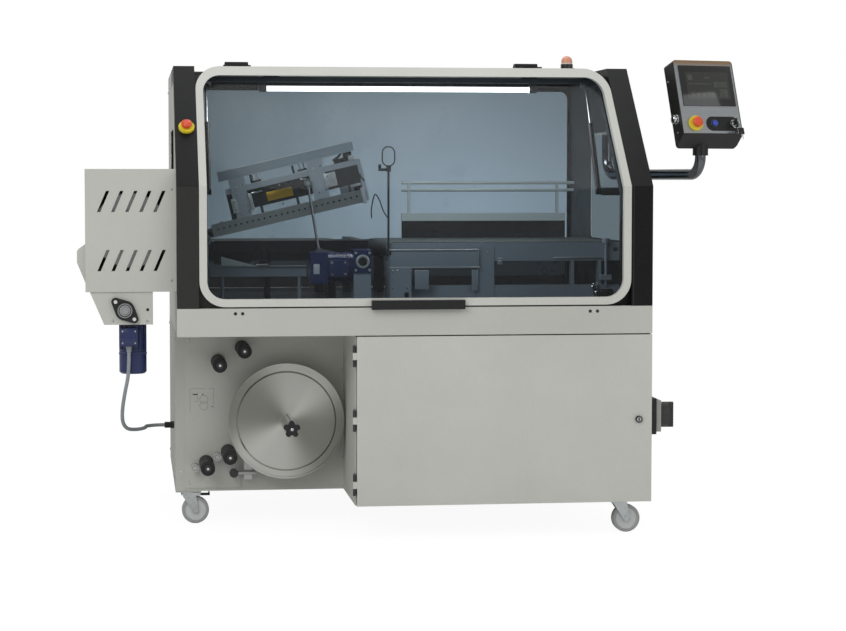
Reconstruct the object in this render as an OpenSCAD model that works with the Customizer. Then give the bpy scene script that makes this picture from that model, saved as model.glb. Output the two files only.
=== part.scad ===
// Shrink wrapping machine with a tilting seal head, a hinged guard hood and a film bay.
// X runs to the right along the front, Y runs back into the machine, Z is up from the floor.
// Places are measured from the middle of the body and from its front, then moved to the origin.

/* [Body] */
// Width of the body
body_w = 1615; // [1560:5:1700]
// Depth of the body
body_d = 1400; // [1340:5:1500]
// Height of the roof above the floor
roof_z = 1618; // [1590:1:1660]
// Height of the body's underside above the floor
base_z = 120; // [116:1:126]
// Height of the front apron's lower edge
apron_z = 698; // [690:1:710]
// Height of the front apron
apron_h = 94; // [86:1:100]
// Thickness of the sheet metal
sheet_t = 3; // [2:0.5:4]
// Depth of the film bay under the apron
bay_d = 430; // [420:1:450]
// Width of the cabinet door
door_w = 1014; // [1000:1:1020]
// Thickness of the cabinet door
door_t = 20; // [16:1:24]

/* [Hood] */
// Height of the hood's sloping part
slope_h = 418; // [400:1:430]
// How far back the sloping part of the hood runs
slope_d = 410; // [390:1:430]
// Distance from the front to the rear edge of the hood
hood_d = 770; // [750:1:790]
// Width of the black cheek beside the hood
cheek_w = 73; // [66:1:80]
// Thickness of the cheek behind its face
cheek_t = 60; // [50:1:70]
// Thickness of the hood frame
frame_t = 22; // [16:1:28]
// Visible width of the hood frame
frame_w = 26; // [20:1:34]
// Thickness of the window sheet
window_t = 5; // [3:0.5:8]
// Outer corner radius of the hood frame
corner_r = 86; // [70:1:100]
// Length of the hood handle
handle_w = 316; // [260:2:360]
// How far the hood handle stands proud
handle_out = 24; // [20:1:30]

/* [Casters] */
// Diameter of the caster wheels
wheel_d = 96; // [90:1:98]
// Width of the caster wheels
wheel_w = 30; // [24:1:32]
// Trail from the swivel to the wheel axle
trail = 25; // [20:1:30]

/* [Film bay] */
// Diameter of the film reel disc
disc_d = 406; // [380:2:410]
// Distance from the bay wall to the disc
disc_gap = 85; // [70:1:100]
// Length of the disc spindle in front of the bay wall
spindle_l = 335; // [300:1:350]
// Diameter of the film rollers
roller_d = 50; // [44:1:52]
// Length of the film rollers
roller_l = 190; // [150:1:220]

/* [Conveyors] */
// Height of the belts above the floor
belt_z = 1000; // [990:1:1004]
// Thickness of the belts
belt_t = 3; // [2:0.5:4]
// Diameter of the belt rollers
belt_roller_d = 48; // [44:1:50]
// Length of the infeed conveyor
infeed_l = 854; // [840:1:858]
// Length of the outfeed conveyor
outfeed_l = 604; // [580:1:606]

/* [Seal head] */
// Angle of the open seal head
head_tilt = 13.2; // [12:0.1:14]
// Length of the seal bar
head_l = 552; // [540:1:556]
// Height of the seal bar
bar_h = 46; // [40:1:50]

/* [Scrap winder] */
// Width of the winder housing
winder_w = 302; // [280:1:320]
// Depth of the winder housing
winder_d = 300; // [290:1:330]
// Height of the winder housing
winder_h = 410; // [400:1:430]
// Diameter of the winder reel
reel_d = 250; // [200:2:260]

/* [Control panel] */
// Width of the control panel
panel_w = 238; // [230:1:250]
// Height of the control panel
panel_h = 304; // [290:1:320]
// Depth of the control panel
panel_d = 64; // [58:1:72]
// Diameter of the arm tube
arm_d = 38; // [34:1:42]
// How far the panel leans back
panel_tilt = 18; // [14:1:20]
// How far the panel is turned to the right
panel_yaw = 15; // [10:1:20]

/* [Hidden] */
$fn = 48;

// Common values
cut = 1;
run_gap = 0.05;
face_gap = 0.3;
hx = body_w / 2;
deck_z = apron_z + apron_h;
cab_x = hx - door_w;
bend_z = roof_z - slope_h;
slope_a = atan2(slope_h, slope_d);

// Row origin in the machine's own places
winder_nose = 28;
origin_y = (body_d - handle_out) / 2;
panel_u = 16;
panel_reach = (panel_w / 2 + panel_u) * cos(panel_yaw) + panel_h / 2 * sin(panel_tilt) * sin(panel_yaw);
panel_x = hx + 217;
panel_y = 200;
origin_x = (panel_x + panel_reach - hx - winder_w - winder_nose) / 2;

// Hood
hood_gap = 1.5;
hood_half = hx - cheek_w - hood_gap;
hood_z = deck_z + 5;
top_rail = 33;
inner_r = corner_r - frame_w;
window_lap = 18;
rebate_gap = 3;
rebate_w = 30;
hinge_y = hood_d + 8;
hinge_rise = 10;
hinge_z = roof_z + hinge_rise;
hinge_r = 8;
hinge_pin_r = 4;
hinge_leaf_t = 3;
hinge_xs = [-567, 519];
hinge_half = 50;
hinge_mid = 20;
hinge_cover_t = 24;
hinge_cover_h = 38;
hinge_cover_d = 36;
hinge_cover_in = 8;
roof_y = hood_d + 14;
roof_beam_h = 30;
roof_beam_d = 40;
handle_h = 31;
handle_lip = 12;
handle_z = hood_z + 20 - handle_h;
grip_wall = 4.5;
grip_h = 20;
grip_seat = 1;
grip_lift = 2;

// Hood lamp
lamp_l = 940;
lamp_x = -9;
lamp_r = 9;
lamp_cap = 28;
lamp_cap_out = 3;
lamp_y = slope_d + 48;
lamp_z = roof_z - 75;
lamp_bar_h = 18;
lamp_bar_z = roof_z - 52;
lamp_bar_half = hood_half - 40;
lamp_bar_d = 28;
lamp_hang = 6;

// Gas springs under the hood
spring_x = hood_half - 43;
spring_y0 = 330;
spring_z0 = bend_z - 20;
spring_y1 = 560;
spring_z1 = roof_z - 48;
spring_a = atan2(spring_z1 - spring_z0, spring_y1 - spring_y0);
spring_len = sqrt(pow(spring_y1 - spring_y0, 2) + pow(spring_z1 - spring_z0, 2));
spring_tube_l = 280;
spring_tube_r = 10;
spring_rod_r = 4;
spring_eye_r = 9;
spring_eye_out = 2;
spring_neck = 1;
spring_pin_r = 5;
spring_stand_r = 14;
spring_ear_t = 4;
spring_ear_half = 13;
spring_seat = 16;
spring_stud = 4;
spring_stud_half = 11.5;
leaf_l = 60;
top_rail_x = 682;

// Door
door_skin = 2;
door_z0 = base_z;
door_z1 = apron_z - 4;
door_back = door_t + 2;
door_hinge_x = cab_x - 9;
door_hinge_y = 6;
door_knuckle_r = 5;
door_pin_r = 2.5;
door_leaf_t = 3;
door_leaf_d = 44;
door_hinge_zs = [192, 410, 628];
door_hinge_half = 36;
door_hinge_mid = 12;
lock_x = hx - 46;
lock_z = apron_z - 294;
lock_r = 12;
lock_out = 8;
lock_stem_r = 7;
lock_cam_l = 42;
lock_cam_w = 18;
lock_cam_t = 4;
lock_cam_y = 12;
door_rib_zs = [250, 480];
door_rib_d = 10;

// Bay
post_w = 36;
wall_lift = 11;
wall_x0 = -hx + post_w;
wall_x1 = cab_x - 4;
side_wall_t = 3;
disc_x = -hx + 387;
disc_z = apron_z - 322;
hub_r = 24;
axle_r = 15;
axle_l = 300;
disc_plate_t = 5;
disc_rim_t = 14;
disc_step = 6;
disc_hub_step_r = 170;
knob_stem = 18;
knob_t = 24;
knob_r = 20;
knob_lobe_r = 9;
knob_lobes = 5;
pin_r = 8;
bolt_r = 12;
bolt_t = 5;
plate_t = 3;
roller_px = [151, 236, 108, 185];
roller_pz = [116, 68, 473, 436];
roller_back = bay_d - 2 * plate_t;
roller_front = roller_back - roller_l;
plate_low = 108;
plate_w = 178;
plate_high = 191;
plate_in = 15;
plate_out = 18;
guide_r = 14;
guide_l = 44;
guide_px = [68, 146];
guide_pz = [490, 452];
clamp_x = -hx + 204;
clamp_z = apron_z - 535;
clamp_plate_w = 30;
clamp_plate_h = 76;
clamp_rod_r = 7;
clamp_rod_l = 66;
clamp_knob_r = 15;
clamp_knob_t = 20;
clamp_out = 30;

// Casters
caster_plate = 90;
caster_plate_t = 4;
caster_xs = [-hx + 46, hx - 90, -hx + 46, hx - 90];
caster_ys = [bay_d + 50, 110, body_d - 110, body_d - 110];
king_r = 6;
king_head_r = 10;
king_head_t = 5;
crown_r = 26;
crown_t = 6;
crown_z = base_z - 18;
race_r = 24;
leg_t = 3;
leg_gap = 2;
leg_in = wheel_w / 2 + leg_gap;
leg_w = 12;
leg_reach = 46;
leg_drop = 12;
axle_bolt_r = 5;
axle_head_r = 9;
axle_head_t = 4;
tread_r = 3;
hub_in_r = 16;
rim_w = 12;
king_z = crown_z - face_gap - king_head_t;
crown_top = base_z - caster_plate_t - face_gap;
run_in = 0.5;
pedal_r = 3;
pedal_l = 38;
pedal_t = 5;
pedal_lift = 3;
pedal_x = crown_r + 12;
pedal_ear = 6;

// Seal head, measured from its pivot along the tilted bar (u) and square to it (v)
pivot_x = -hx + 108;
pivot_z = belt_z + 10;
head_y = bay_d + 2;
pivot_r = 12;
pivot_boss_r = 22;
bearing_t = 20;
head_u0 = 33;
head_end = 15;
head_back = 1004;
bar_t = 4;
bar_flange = 30;
hole_r = 4;
hole_pitch = 21;
hole_v_share = 0.55;
press_v0 = 70;
press_h = 65;
press_d = 34;
press_u0 = 120;
cap_h = 20;
guard_v = 190;
guard_h = 32;
guard_u0 = 95;
guard_d = 24;
guard_t = 3;
head_plate_us = [128, 410];
head_plate_w = 56;
head_plate_v0 = 47;
head_plate_v1 = 186;
head_plate_t = 5;
stand_us = [150, 222, 352, 430, 540];
stand_w = 9;
cross_w = 40;
cross_v0 = 4;
cross_h = 56;
rear_bar_t = 16;
rear_bar_h = 34;
ring_u = 398;
ring_v = 112;
ring_pin_r = 6;
ring_r = 13;
ring_pin_out = 3;
arm_t = 10;
arm_v = 2;
bar_flange_t = 5;
pivot_out = 6;
post_half = 13;
cross_u = head_u0 + head_l - 25;
rod_top_x = pivot_x + ring_u * cos(head_tilt) - ring_v * sin(head_tilt);
rod_top_z = pivot_z + ring_u * sin(head_tilt) + ring_v * cos(head_tilt);
rod_layer_y = 412;
rod_layer_t = 10;
rod_r = 5;

// Lower jaw
jaw_top = pivot_z - 4;
jaw_h = 41;
jaw_pad_h = 8;
jaw_d = 38;
jaw_post_w = 22;
jaw_post_xs = [-480, -250];
jaw_x0 = -hx + 140;
jaw_x1 = pivot_x + head_l + 26;

// Gear motor and crank
gear_x = -161;
gear_z = 938;
gear_w = 60;
gear_h = 80;
gear_y0 = 245;
gear_y1 = 390;
gear_flange_r = 27;
gear_flange_t = 8;
motor_l = 150;
motor_r = 50;
motor_y = 300;
motor_z = 916;
motor_ribs = 7;
motor_rib_t = 4;
motor_rib_r = 54;
motor_box_w = 60;
motor_box_d = 54;
out_shaft_r = 10;
crank_x = -298;
crank_z = 967;
crank_a = atan2(crank_z - gear_z, crank_x - gear_x);
crank_l = sqrt(pow(crank_x - gear_x, 2) + pow(crank_z - gear_z, 2));
crank_y = 396;
crank_t = 8;
crank_r = 14;
crank_slim = 2;
crank_pin_r = 6;

// Inner frame
beam_y = 400;
beam_d = 36;
tray_t = 4;
tray_z = deck_z + tray_t;
tray_y0 = 290;
tray_x0 = -hx + sheet_t + 8;
beam_z0 = deck_z + 11;
beam_h = 43;
frame_x0 = hx - sheet_t - 8 - infeed_l - 0.5;
front_post_xs = [hx - 201.5, hx - 102.5];
front_post_w = 12;
bracket_x = frame_x0 + 323;
bracket_w = 62;
bracket_t = 4;
bracket_z = belt_z - 16;
gusset_x = frame_x0 + 4;
gusset_w = 76;
gusset_h = 88;
gusset_z = deck_z + gusset_h + 30;
gusset_y = 340;
rail_z = belt_z - 119;
rail_h = 33;
rail_x0 = -680;
rail_x1 = -345;
rail_y = 396;
rail_d = 20;
rail_post_r = 6;
rail_post_x = -640;
side_h = 66;
side_z = belt_z - 2;
side_t = 4;
bed_t = 4;
belt_r = belt_roller_d / 2;
roller_z = belt_z - belt_t - face_gap - belt_r;
infeed_x1 = hx - sheet_t - 8;
outfeed_x0 = -hx + sheet_t + 8;
conveyor_y0 = [beam_y, bay_d + 92];
conveyor_y1 = 1000;
belt_edge = 3;
end_inset = belt_r + belt_t + 1;
drive_end_r = 9;
lever_x = hx - 77.5;
lever_z0 = 846;
lever_l = 150;
lever_r = 5;
lever_knob_r = 13;
lever_knob_t = 16;
lever_foot = 34;

// Product guide and sensors
guide_x0 = frame_x0 + 128;
guide_x1 = hx - 101.5;
wall_h = 64;
wall_t = 4;
cap_bar_h = 30;
cap_bar_d = 24;
rail_bar_r = 6;
rail_bar_z = belt_z + 210;
rail_bar_low = belt_z + 182;
rail_end_x = hx - 80.5;
rail_flat_w = 30;
sensor_x = frame_x0 + 4;
sensor_y = 386;
sensor_top = belt_z + 250;
sensor_r = 4;
sensor_head = 16;
sensor_head_h = 22;
loop_r = 22;
loop_wire_r = 2.5;

// Scrap winder
winder_x0 = -hx - winder_w;
winder_y = 60;
winder_z1 = 1257;
winder_z0 = winder_z1 - winder_h;
winder_wall = 2.5;
slot_w = 11;
slot_h = 70;
slot_lean = 30;
slot_pitch = 46.5;
slot_count = 5;
slot_x = winder_x0 + 40;
slot_zs = [917, 1114];
low_plate_in = 6;
low_plate_t = 4;
low_plate_z = 737;
low_plate_xs = [winder_x0 + 14, winder_x0 + 223, winder_x0 + 223, winder_x0 + 61];
nose_y = [80, 330];
nose_zs = [1004, 983, 945, 876];
bearing_x = winder_x0 + 130;
bearing_z = 785;
bearing_r = 33;
bearing_lug_r = 14;
bearing_pitch = 85;
bearing_a = -43;
bearing_plate_t = 12;
bearing_ring_r = 26;
bearing_out = 22;
bearing_bolt_r = 6;
shaft_r = 12.5;
shaft_out = 8;
shaft_back = 230;
pulley_r = 34;
pulley_t = 22;
reel_x = winder_x0 + 150;
reel_z = 1052;
reel_shaft_r = 12;
reel_core_r = 36;
reel_plate_t = 3;
reel_boss_r = 20;
reel_boss_t = 12;
reel_in = 34;
wm_x = -954;
wm_y = 148;
wm_r = 42;
wm_top = low_plate_z - 2;
wm_l = 84;
wm_cover_r = 46;
wm_cover_l = 78;
wm_gear_w = 104;
wm_gear_d = 92;
wm_gear_h = 84;
wm_box_w = 52;
wm_box_d = 24;
wm_box_h = 60;
wm_ribs = 12;
wm_rib_t = 3;

// Cable
cable_d = 13;
cable_sides = 10;
cable_route = [[-967, 82, 665], [-967, 82, 640], [-968, 84, 600], [-972, 88, 555], [-981, 96, 508],
    [-989, 112, 458], [-991, 144, 415], [-985, 190, 386], [-972, 255, 366], [-953, 335, 354],
    [-932, 415, 346], [-916, 490, 341], [-910, 545, 338], [-909, 582, 336],
    [-904, 605, 335], [-892, 624, 334], [-875, 636, 334], [-854, 640, 334], [-841.5, 640, 334]];
cable_steps = 3;
gland_y = 640;
gland_z = 334;
gland_l = 34;
gland_nut_r = 13;
gland_nut_l = 12;
gland_dome_r = 11;

// Control arm and panel
arm_x = hx + 30;
arm_y = 860;
arm_z = roof_z - 378;
arm_r = arm_d / 2;
arm_bend = 62;
arm_run = sqrt(pow(panel_x - arm_x, 2) + pow(panel_y - arm_y, 2));
arm_a = atan2(panel_y - arm_y, panel_x - arm_x);
arm_top = roof_z - 168;
socket_z = roof_z - 226;
socket_half = 29;
socket_top = roof_z - 144;
panel_z = roof_z - 132;
panel_shift = 6;
panel_front = panel_shift - panel_d / 2;
panel_bow = 460;
panel_chin = 33;
panel_entry = roof_z - 266;
panel_neck_r = 27;
panel_neck_z = roof_z - 312;
panel_neck_h = 40;
face_t = 3;
face_in = 12;
stop_u = -66;
stop_v = -82;
stop_collar_r = 27;
stop_collar_h = 9;
stop_cap_r = 18;
stop_cap_h = 16;
stop_stem_r = 8;
stop_stem_l = 12;
stop_travel = 5;
pill_u = [-22, 106];
pill_h = 52;
pill_t = 2;
blue_u = 9;
blue_r = 10;
blue_h = 5;
blue_stem_l = 7;
blue_travel = 3;
key_u = 82;
key_r = 12;
key_h = 8;
key_bow_w = 20;
key_bow_h = 22;
key_bow_t = 3;
key_stem_l = 10;
side_knob_r = 14;
side_knob_l = 14;
side_knob_v = -56;
sill_h = 22;
cheek_stop_s = 275;
cheek_stop_x = -hx + 39;

// Main switch
switch_y = 100;
switch_z = 408;
switch_base_w = 124;
switch_base_t = 26;
switch_plate_w = 108;
switch_plate_t = 18;
switch_knob_r = 44;
switch_knob_t = 54;
switch_grip_w = 24;
switch_grip_in = 20;
switch_stem_r = 6;
switch_stem_l = 12;

// Roof beacon
beacon_x = hx - 130;
beacon_y = roof_y + 56;
beacon_r = 23;
beacon_base_h = 38;
beacon_dome_r = 21;
beacon_dome_h = 10;

// Side and rear openings
port_y = [bay_d, conveyor_y1 - 10];
port_drop = 218;
port_z = [belt_z + 1, roof_z - port_drop];
rear_ins = [102, 30];
rear_edge = 58;
rear_z = [deck_z + rear_edge, roof_z - rear_edge];
rear_lap = 15;
louvre_w = 150;
louvre_h = 9;
louvre_pitch = 24;
louvre_count = 7;
louvre_z = 300;
louvre_x = 430;
louvre_xs = [-louvre_x, louvre_x];

// Placing and simple forms
module place() {
  translate([-origin_x, -origin_y, 0])
    children();
}

module block(x, y, z) {
  translate([x[0], y[0], z[0]])
    cube([x[1] - x[0], y[1] - y[0], z[1] - z[0]]);
}

module rod_x(x, y, z, r) {
  translate([x[0], y, z])
    rotate([0, 90, 0])
      cylinder(r = r, h = x[1] - x[0]);
}

module rod_y(x, y, z, r) {
  translate([x, y[0], z])
    rotate([-90, 0, 0])
      cylinder(r = r, h = y[1] - y[0]);
}

module rod_z(x, y, z, r) {
  translate([x, y, z[0]])
    cylinder(r = r, h = z[1] - z[0]);
}

module extrude_x(x) {
  translate([x[0], 0, 0])
    rotate([90, 0, 90])
      linear_extrude(x[1] - x[0])
        children();
}

module extrude_y(y) {
  translate([0, y[1], 0])
    rotate([90, 0, 0])
      linear_extrude(y[1] - y[0])
        children();
}

module soft_rect(x, z, r) {
  translate([x[0] + r, z[0]])
    square([x[1] - x[0] - 2 * r, z[1] - z[0]]);
  translate([x[0], z[0] + r])
    square([x[1] - x[0], z[1] - z[0] - 2 * r]);
  for (px = [x[0] + r, x[1] - r], pz = [z[0] + r, z[1] - r])
    translate([px, pz])
      circle(r);
}

module both_sides() {
  children();
  mirror([1, 0, 0])
    children();
}

// Side profile of the hood: vertical front, slope and flat top, moved inward by d
function bend_at(d) = bend_z - d * (1 - sin(slope_a)) / cos(slope_a);
function top_y(d) = (cos(slope_a) * (roof_z - d - bend_z) + d) / sin(slope_a);
function outer_path(d, z, y) = [[d, z], [d, bend_at(d)], [top_y(d), roof_z - d], [y, roof_z - d]];
function band(d0, d1, z, y) = concat(outer_path(d0, z, y),
    [for (i = [3:-1:0]) outer_path(d1, z, y)[i]]);

module on_slope(x, s) {
  translate([x, 0, bend_z])
    rotate([slope_a, 0, 0])
      translate([0, s, 0])
        children();
}

// Sheet metal body
module side_outline(front_y) {
  polygon([[front_y, base_z], [front_y, apron_z], [sheet_t, apron_z], [sheet_t, deck_z],
      [cheek_t, deck_z], [cheek_t, bend_at(cheek_t)], [top_y(cheek_t), roof_z - cheek_t],
      [hinge_y, roof_z - cheek_t], [hinge_y, roof_z], [body_d, roof_z], [body_d, base_z]]);
}

module side_port() {
  extrude_x([-cut, sheet_t + cut])
    soft_rect(port_y, port_z, cheek_t / 2);
}

module spring_stand() {
  rod_x([sheet_t, hx - spring_x - spring_tube_r - face_gap], spring_y0, spring_z0, spring_stand_r);
  rod_x([sheet_t, hx - spring_x + spring_tube_r], spring_y0, spring_z0, spring_pin_r);
}

module left_side() {
  place() color("#c3c4bd") {
    translate([-hx, 0, 0]) {
      difference() {
        extrude_x([0, sheet_t])
          side_outline(bay_d);
        side_port();
      }
      spring_stand();
    }
    block([-hx + sheet_t, wall_x0], [bay_d, bay_d + sheet_t], [base_z, apron_z]);
  }
}

module right_side() {
  place() color("#c3c4bd") {
    mirror([1, 0, 0])
      translate([-hx, 0, 0]) {
        difference() {
          extrude_x([0, sheet_t])
            side_outline(door_back);
          side_port();
          rod_x([-cut, sheet_t + cut], switch_y, switch_z, switch_stem_r + cut);
        }
        spring_stand();
      }
    difference() {
      block([hx, arm_x + socket_half], [arm_y - socket_half, arm_y + socket_half],
          [socket_z, socket_top]);
      rod_z(arm_x, arm_y, [socket_z - cut, arm_top + face_gap], arm_r + run_gap);
    }
  }
}

module rear_panel() {
  place() color("#c3c4bd")
    difference() {
      block([-hx + sheet_t, hx - sheet_t], [body_d - sheet_t, body_d], [base_z, roof_z]);
      extrude_y([body_d - sheet_t - cut, body_d + cut])
        soft_rect([-hx + rear_ins[0], hx - rear_ins[1]], rear_z, cheek_t / 2);
      for (x = louvre_xs, i = [0:louvre_count - 1])
        extrude_y([body_d - sheet_t - cut, body_d + cut])
          soft_rect([x - louvre_w / 2, x + louvre_w / 2],
              [louvre_z + i * louvre_pitch, louvre_z + i * louvre_pitch + louvre_h],
              louvre_h / 3);
    }
}

module rear_window() {
  place() color("#7f96a6")
    extrude_y([body_d - sheet_t - window_t, body_d - sheet_t])
      soft_rect([-hx + rear_ins[0] - rear_lap, hx - rear_ins[1] + rear_lap],
          [rear_z[0] - rear_lap, rear_z[1] + rear_lap], cheek_t / 2);
}

module roof_panel() {
  place() color("#c3c4bd") {
    block([-hx + sheet_t, hx - sheet_t], [roof_y, body_d - sheet_t], [roof_z - sheet_t, roof_z]);
    block([-hx + sheet_t, hx - sheet_t], [roof_y, roof_y + roof_beam_d],
        [roof_z - sheet_t - roof_beam_h, roof_z - sheet_t]);
  }
}

module base_pan() {
  place() color("#8f918d") {
    block([-hx + sheet_t, cab_x - cut], [bay_d + sheet_t, body_d - sheet_t],
        [base_z, base_z + sheet_t]);
    block([cab_x - cut, hx - sheet_t], [door_back, body_d - sheet_t], [base_z, base_z + sheet_t]);
    for (y = [bay_d + sheet_t, body_d - sheet_t - roof_beam_d])
      block([-hx + sheet_t, hx - sheet_t], [y, y + roof_beam_d],
          [base_z + sheet_t, base_z + sheet_t + roof_beam_h]);
    for (i = [0:3])
      block([caster_xs[i] - caster_plate / 2, caster_xs[i] + caster_plate / 2],
          [caster_ys[i] - caster_plate / 2, caster_ys[i] + caster_plate / 2],
          [base_z - caster_plate_t, base_z]);
  }
}

module deck() {
  place() color("#c6c7c0") {
    block([-hx, hx], [0, sheet_t], [apron_z, deck_z]);
    block([-hx + sheet_t, hx - sheet_t], [sheet_t, body_d - sheet_t], [deck_z - sheet_t, deck_z]);
    block([-hx + sheet_t, hx - sheet_t], [sheet_t, door_back + door_t], [apron_z, apron_z + sheet_t]);
    block([-hx + sheet_t, cab_x], [sheet_t, bay_d + sheet_t], [apron_z, apron_z + sheet_t]);
  }
}

module cheeks() {
  place() color("#17181a") {
    difference() {
      union() {
        both_sides() {
          extrude_x([-hx, -hx + cheek_w])
            polygon(band(0, cheek_t, deck_z, hinge_y));
          extrude_x([-hx + cheek_w, -hx + cheek_w + rebate_w])
            polygon(band(frame_t + window_t + rebate_gap, cheek_t, deck_z, hood_d - rebate_w));
        }
        on_slope(cheek_stop_x, cheek_stop_s)
          cylinder(r = stop_collar_r, h = stop_collar_h);
      }
      on_slope(cheek_stop_x, cheek_stop_s)
        translate([0, 0, -stop_stem_l])
          cylinder(r = stop_stem_r + run_gap, h = stop_collar_h + stop_stem_l + cut);
    }
    block([-hx + cheek_w, hx - cheek_w], [frame_t + window_t + rebate_gap, cheek_t],
        [deck_z, deck_z + sill_h]);
  }
}

module hinge_blocks() {
  place() color("#161719") {
    for (x = hinge_xs)
      extrude_y([roof_y + roof_beam_d, roof_y + roof_beam_d + hinge_cover_d])
        polygon([[x - hinge_half, roof_z], [x + hinge_half, roof_z],
            [x + hinge_half - hinge_cover_in, roof_z + hinge_cover_h],
            [x - hinge_half + hinge_cover_in, roof_z + hinge_cover_h]]);
    for (x = hinge_xs, side = [-1, 1])
      difference() {
        block([x + min(side * hinge_half, side * hinge_mid),
            x + max(side * hinge_half, side * hinge_mid)],
            [hinge_y - hinge_r, roof_y + roof_beam_d], [roof_z, roof_z + hinge_cover_t]);
        rod_x([x - hinge_half - cut, x + hinge_half + cut], hinge_y, hinge_z, hinge_pin_r + run_gap);
      }
  }
}

module beacon() {
  place() color("#e9a07c")
    translate([beacon_x, beacon_y, roof_z]) {
      cylinder(r = beacon_r, h = beacon_base_h);
      rotate_extrude() {
        square([beacon_dome_r, beacon_base_h + beacon_dome_h]);
        translate([0, beacon_base_h])
          intersection() {
            translate([0, -beacon_dome_r])
              square([beacon_dome_r, 2 * beacon_dome_r + beacon_dome_h]);
            translate([0, beacon_dome_h])
              circle(beacon_dome_r);
          }
      }
    }
}

// Film bay
module bay_panel() {
  place() color("#c8c9c2") {
    block([wall_x0, wall_x1], [bay_d, bay_d + sheet_t], [base_z + wall_lift, apron_z]);
    block([wall_x1, wall_x1 + side_wall_t], [door_back, bay_d + sheet_t], [base_z, apron_z]);
    extrude_y([bay_d - plate_t, bay_d])
      polygon([[wall_x0 + plate_in, base_z + wall_lift], [wall_x0 + plate_in, base_z + plate_low],
          [wall_x0 + plate_w, base_z + plate_high],
          [wall_x0 + plate_w + plate_out, base_z + wall_lift]]);
  }
}

module roller_pin(i) {
  rod_y(roller_x(i), [roller_front - face_gap - bolt_t, i < 2 ? bay_d : bay_d - plate_t], roller_zz(i),
      pin_r);
  rod_y(roller_x(i), [roller_front - face_gap - bolt_t, roller_front - face_gap], roller_zz(i), bolt_r);
}

function roller_x(i) = -hx + roller_px[i];
function roller_zz(i) = apron_z - roller_pz[i];
module door_leaf(z) {
  for (side = [-1, 1])
    rod_z(door_hinge_x, door_hinge_y, [z + min(side * door_hinge_half,
        side * (door_hinge_mid + face_gap)),
        z + max(side * door_hinge_half, side * (door_hinge_mid + face_gap))], door_knuckle_r);
  rod_z(door_hinge_x, door_hinge_y, [z - door_hinge_half, z + door_hinge_half], door_pin_r);
  for (side = [-1, 1])
    block([wall_x1 - door_leaf_t, wall_x1], [door_hinge_y, door_hinge_y + door_leaf_d],
        [z + min(side * door_hinge_half, side * (door_hinge_mid + face_gap)),
        z + max(side * door_hinge_half, side * (door_hinge_mid + face_gap))]);
  block([wall_x1 - door_leaf_t, wall_x1], [door_back, door_hinge_y + door_leaf_d],
      [z - door_hinge_mid - face_gap, z + door_hinge_mid + face_gap]);
}

module bay_hardware() {
  place() color("#9a9b9c") {
    for (i = [0:3])
      roller_pin(i);
    rod_y(disc_x, [bay_d - axle_l, bay_d], disc_z, axle_r);
    for (i = [0:1])
      rod_y(-hx + guide_px[i], [bay_d - plate_t - guide_l, bay_d - plate_t], apron_z - guide_pz[i],
          guide_r);
    for (z = door_hinge_zs)
      door_leaf(z);
    block([clamp_x + clamp_rod_l - clamp_plate_w, clamp_x + clamp_rod_l],
        [bay_d - clamp_out, bay_d - clamp_out + plate_t], [clamp_z, clamp_z + clamp_plate_h]);
    block([clamp_x + clamp_rod_l - clamp_plate_w, clamp_x + clamp_rod_l],
        [bay_d - clamp_out, bay_d], [clamp_z, clamp_z + plate_t]);
    rod_x([clamp_x, clamp_x + clamp_rod_l + clamp_knob_t / 2], bay_d - clamp_out - clamp_rod_r,
        clamp_z + clamp_plate_h / 3, clamp_rod_r);
    rod_y(clamp_x, [bay_d - clamp_out - clamp_rod_r - clamp_knob_t, bay_d - clamp_out],
        clamp_z + clamp_plate_h / 3, clamp_knob_r);
  }
}

module film_disc() {
  place() color("#b9bab8")
    translate([disc_x, bay_d, disc_z])
      rotate([90, 0, 0])
        rotate_extrude()
          polygon([[axle_r + run_gap, plate_t], [hub_r, plate_t], [hub_r, disc_gap],
              [disc_d / 2, disc_gap], [disc_d / 2, disc_gap + disc_rim_t],
              [disc_d / 2 - disc_plate_t, disc_gap + disc_rim_t],
              [disc_d / 2 - disc_plate_t, disc_gap + disc_step],
              [disc_hub_step_r + disc_step, disc_gap + disc_step],
              [disc_hub_step_r, disc_gap + 2 * disc_plate_t],
              [hub_r, disc_gap + 2 * disc_plate_t],
              [hub_r, spindle_l], [axle_r + run_gap, spindle_l]]);
}

module star_knob() {
  place() color("#141516")
    translate([disc_x, bay_d - spindle_l, disc_z])
      rotate([90, 0, 0]) {
        translate([0, 0, -knob_stem])
          cylinder(r = axle_r, h = knob_stem + cut);
        translate([0, 0, face_gap]) {
          cylinder(r = knob_r, h = knob_t);
          for (i = [0:knob_lobes - 1])
            rotate([0, 0, 90 + i * 360 / knob_lobes])
              translate([knob_r, 0, 0])
                cylinder(r = knob_lobe_r, h = knob_t);
        }
      }
}

module film_roller(i) {
  place() color("#1c1d1e")
    translate([roller_x(i), roller_back, roller_zz(i)])
      rotate([90, 0, 0])
        rotate_extrude()
          polygon([[pin_r + run_gap, 0], [roller_d / 2 - tread_r, 0], [roller_d / 2, tread_r],
              [roller_d / 2, roller_l - tread_r], [roller_d / 2 - tread_r, roller_l],
              [bolt_r + tread_r, roller_l], [bolt_r + tread_r, roller_l - cut],
              [pin_r + run_gap, roller_l - cut]]);
}

module film_roller_1() { film_roller(0); }
module film_roller_2() { film_roller(1); }
module film_roller_3() { film_roller(2); }
module film_roller_4() { film_roller(3); }

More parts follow.
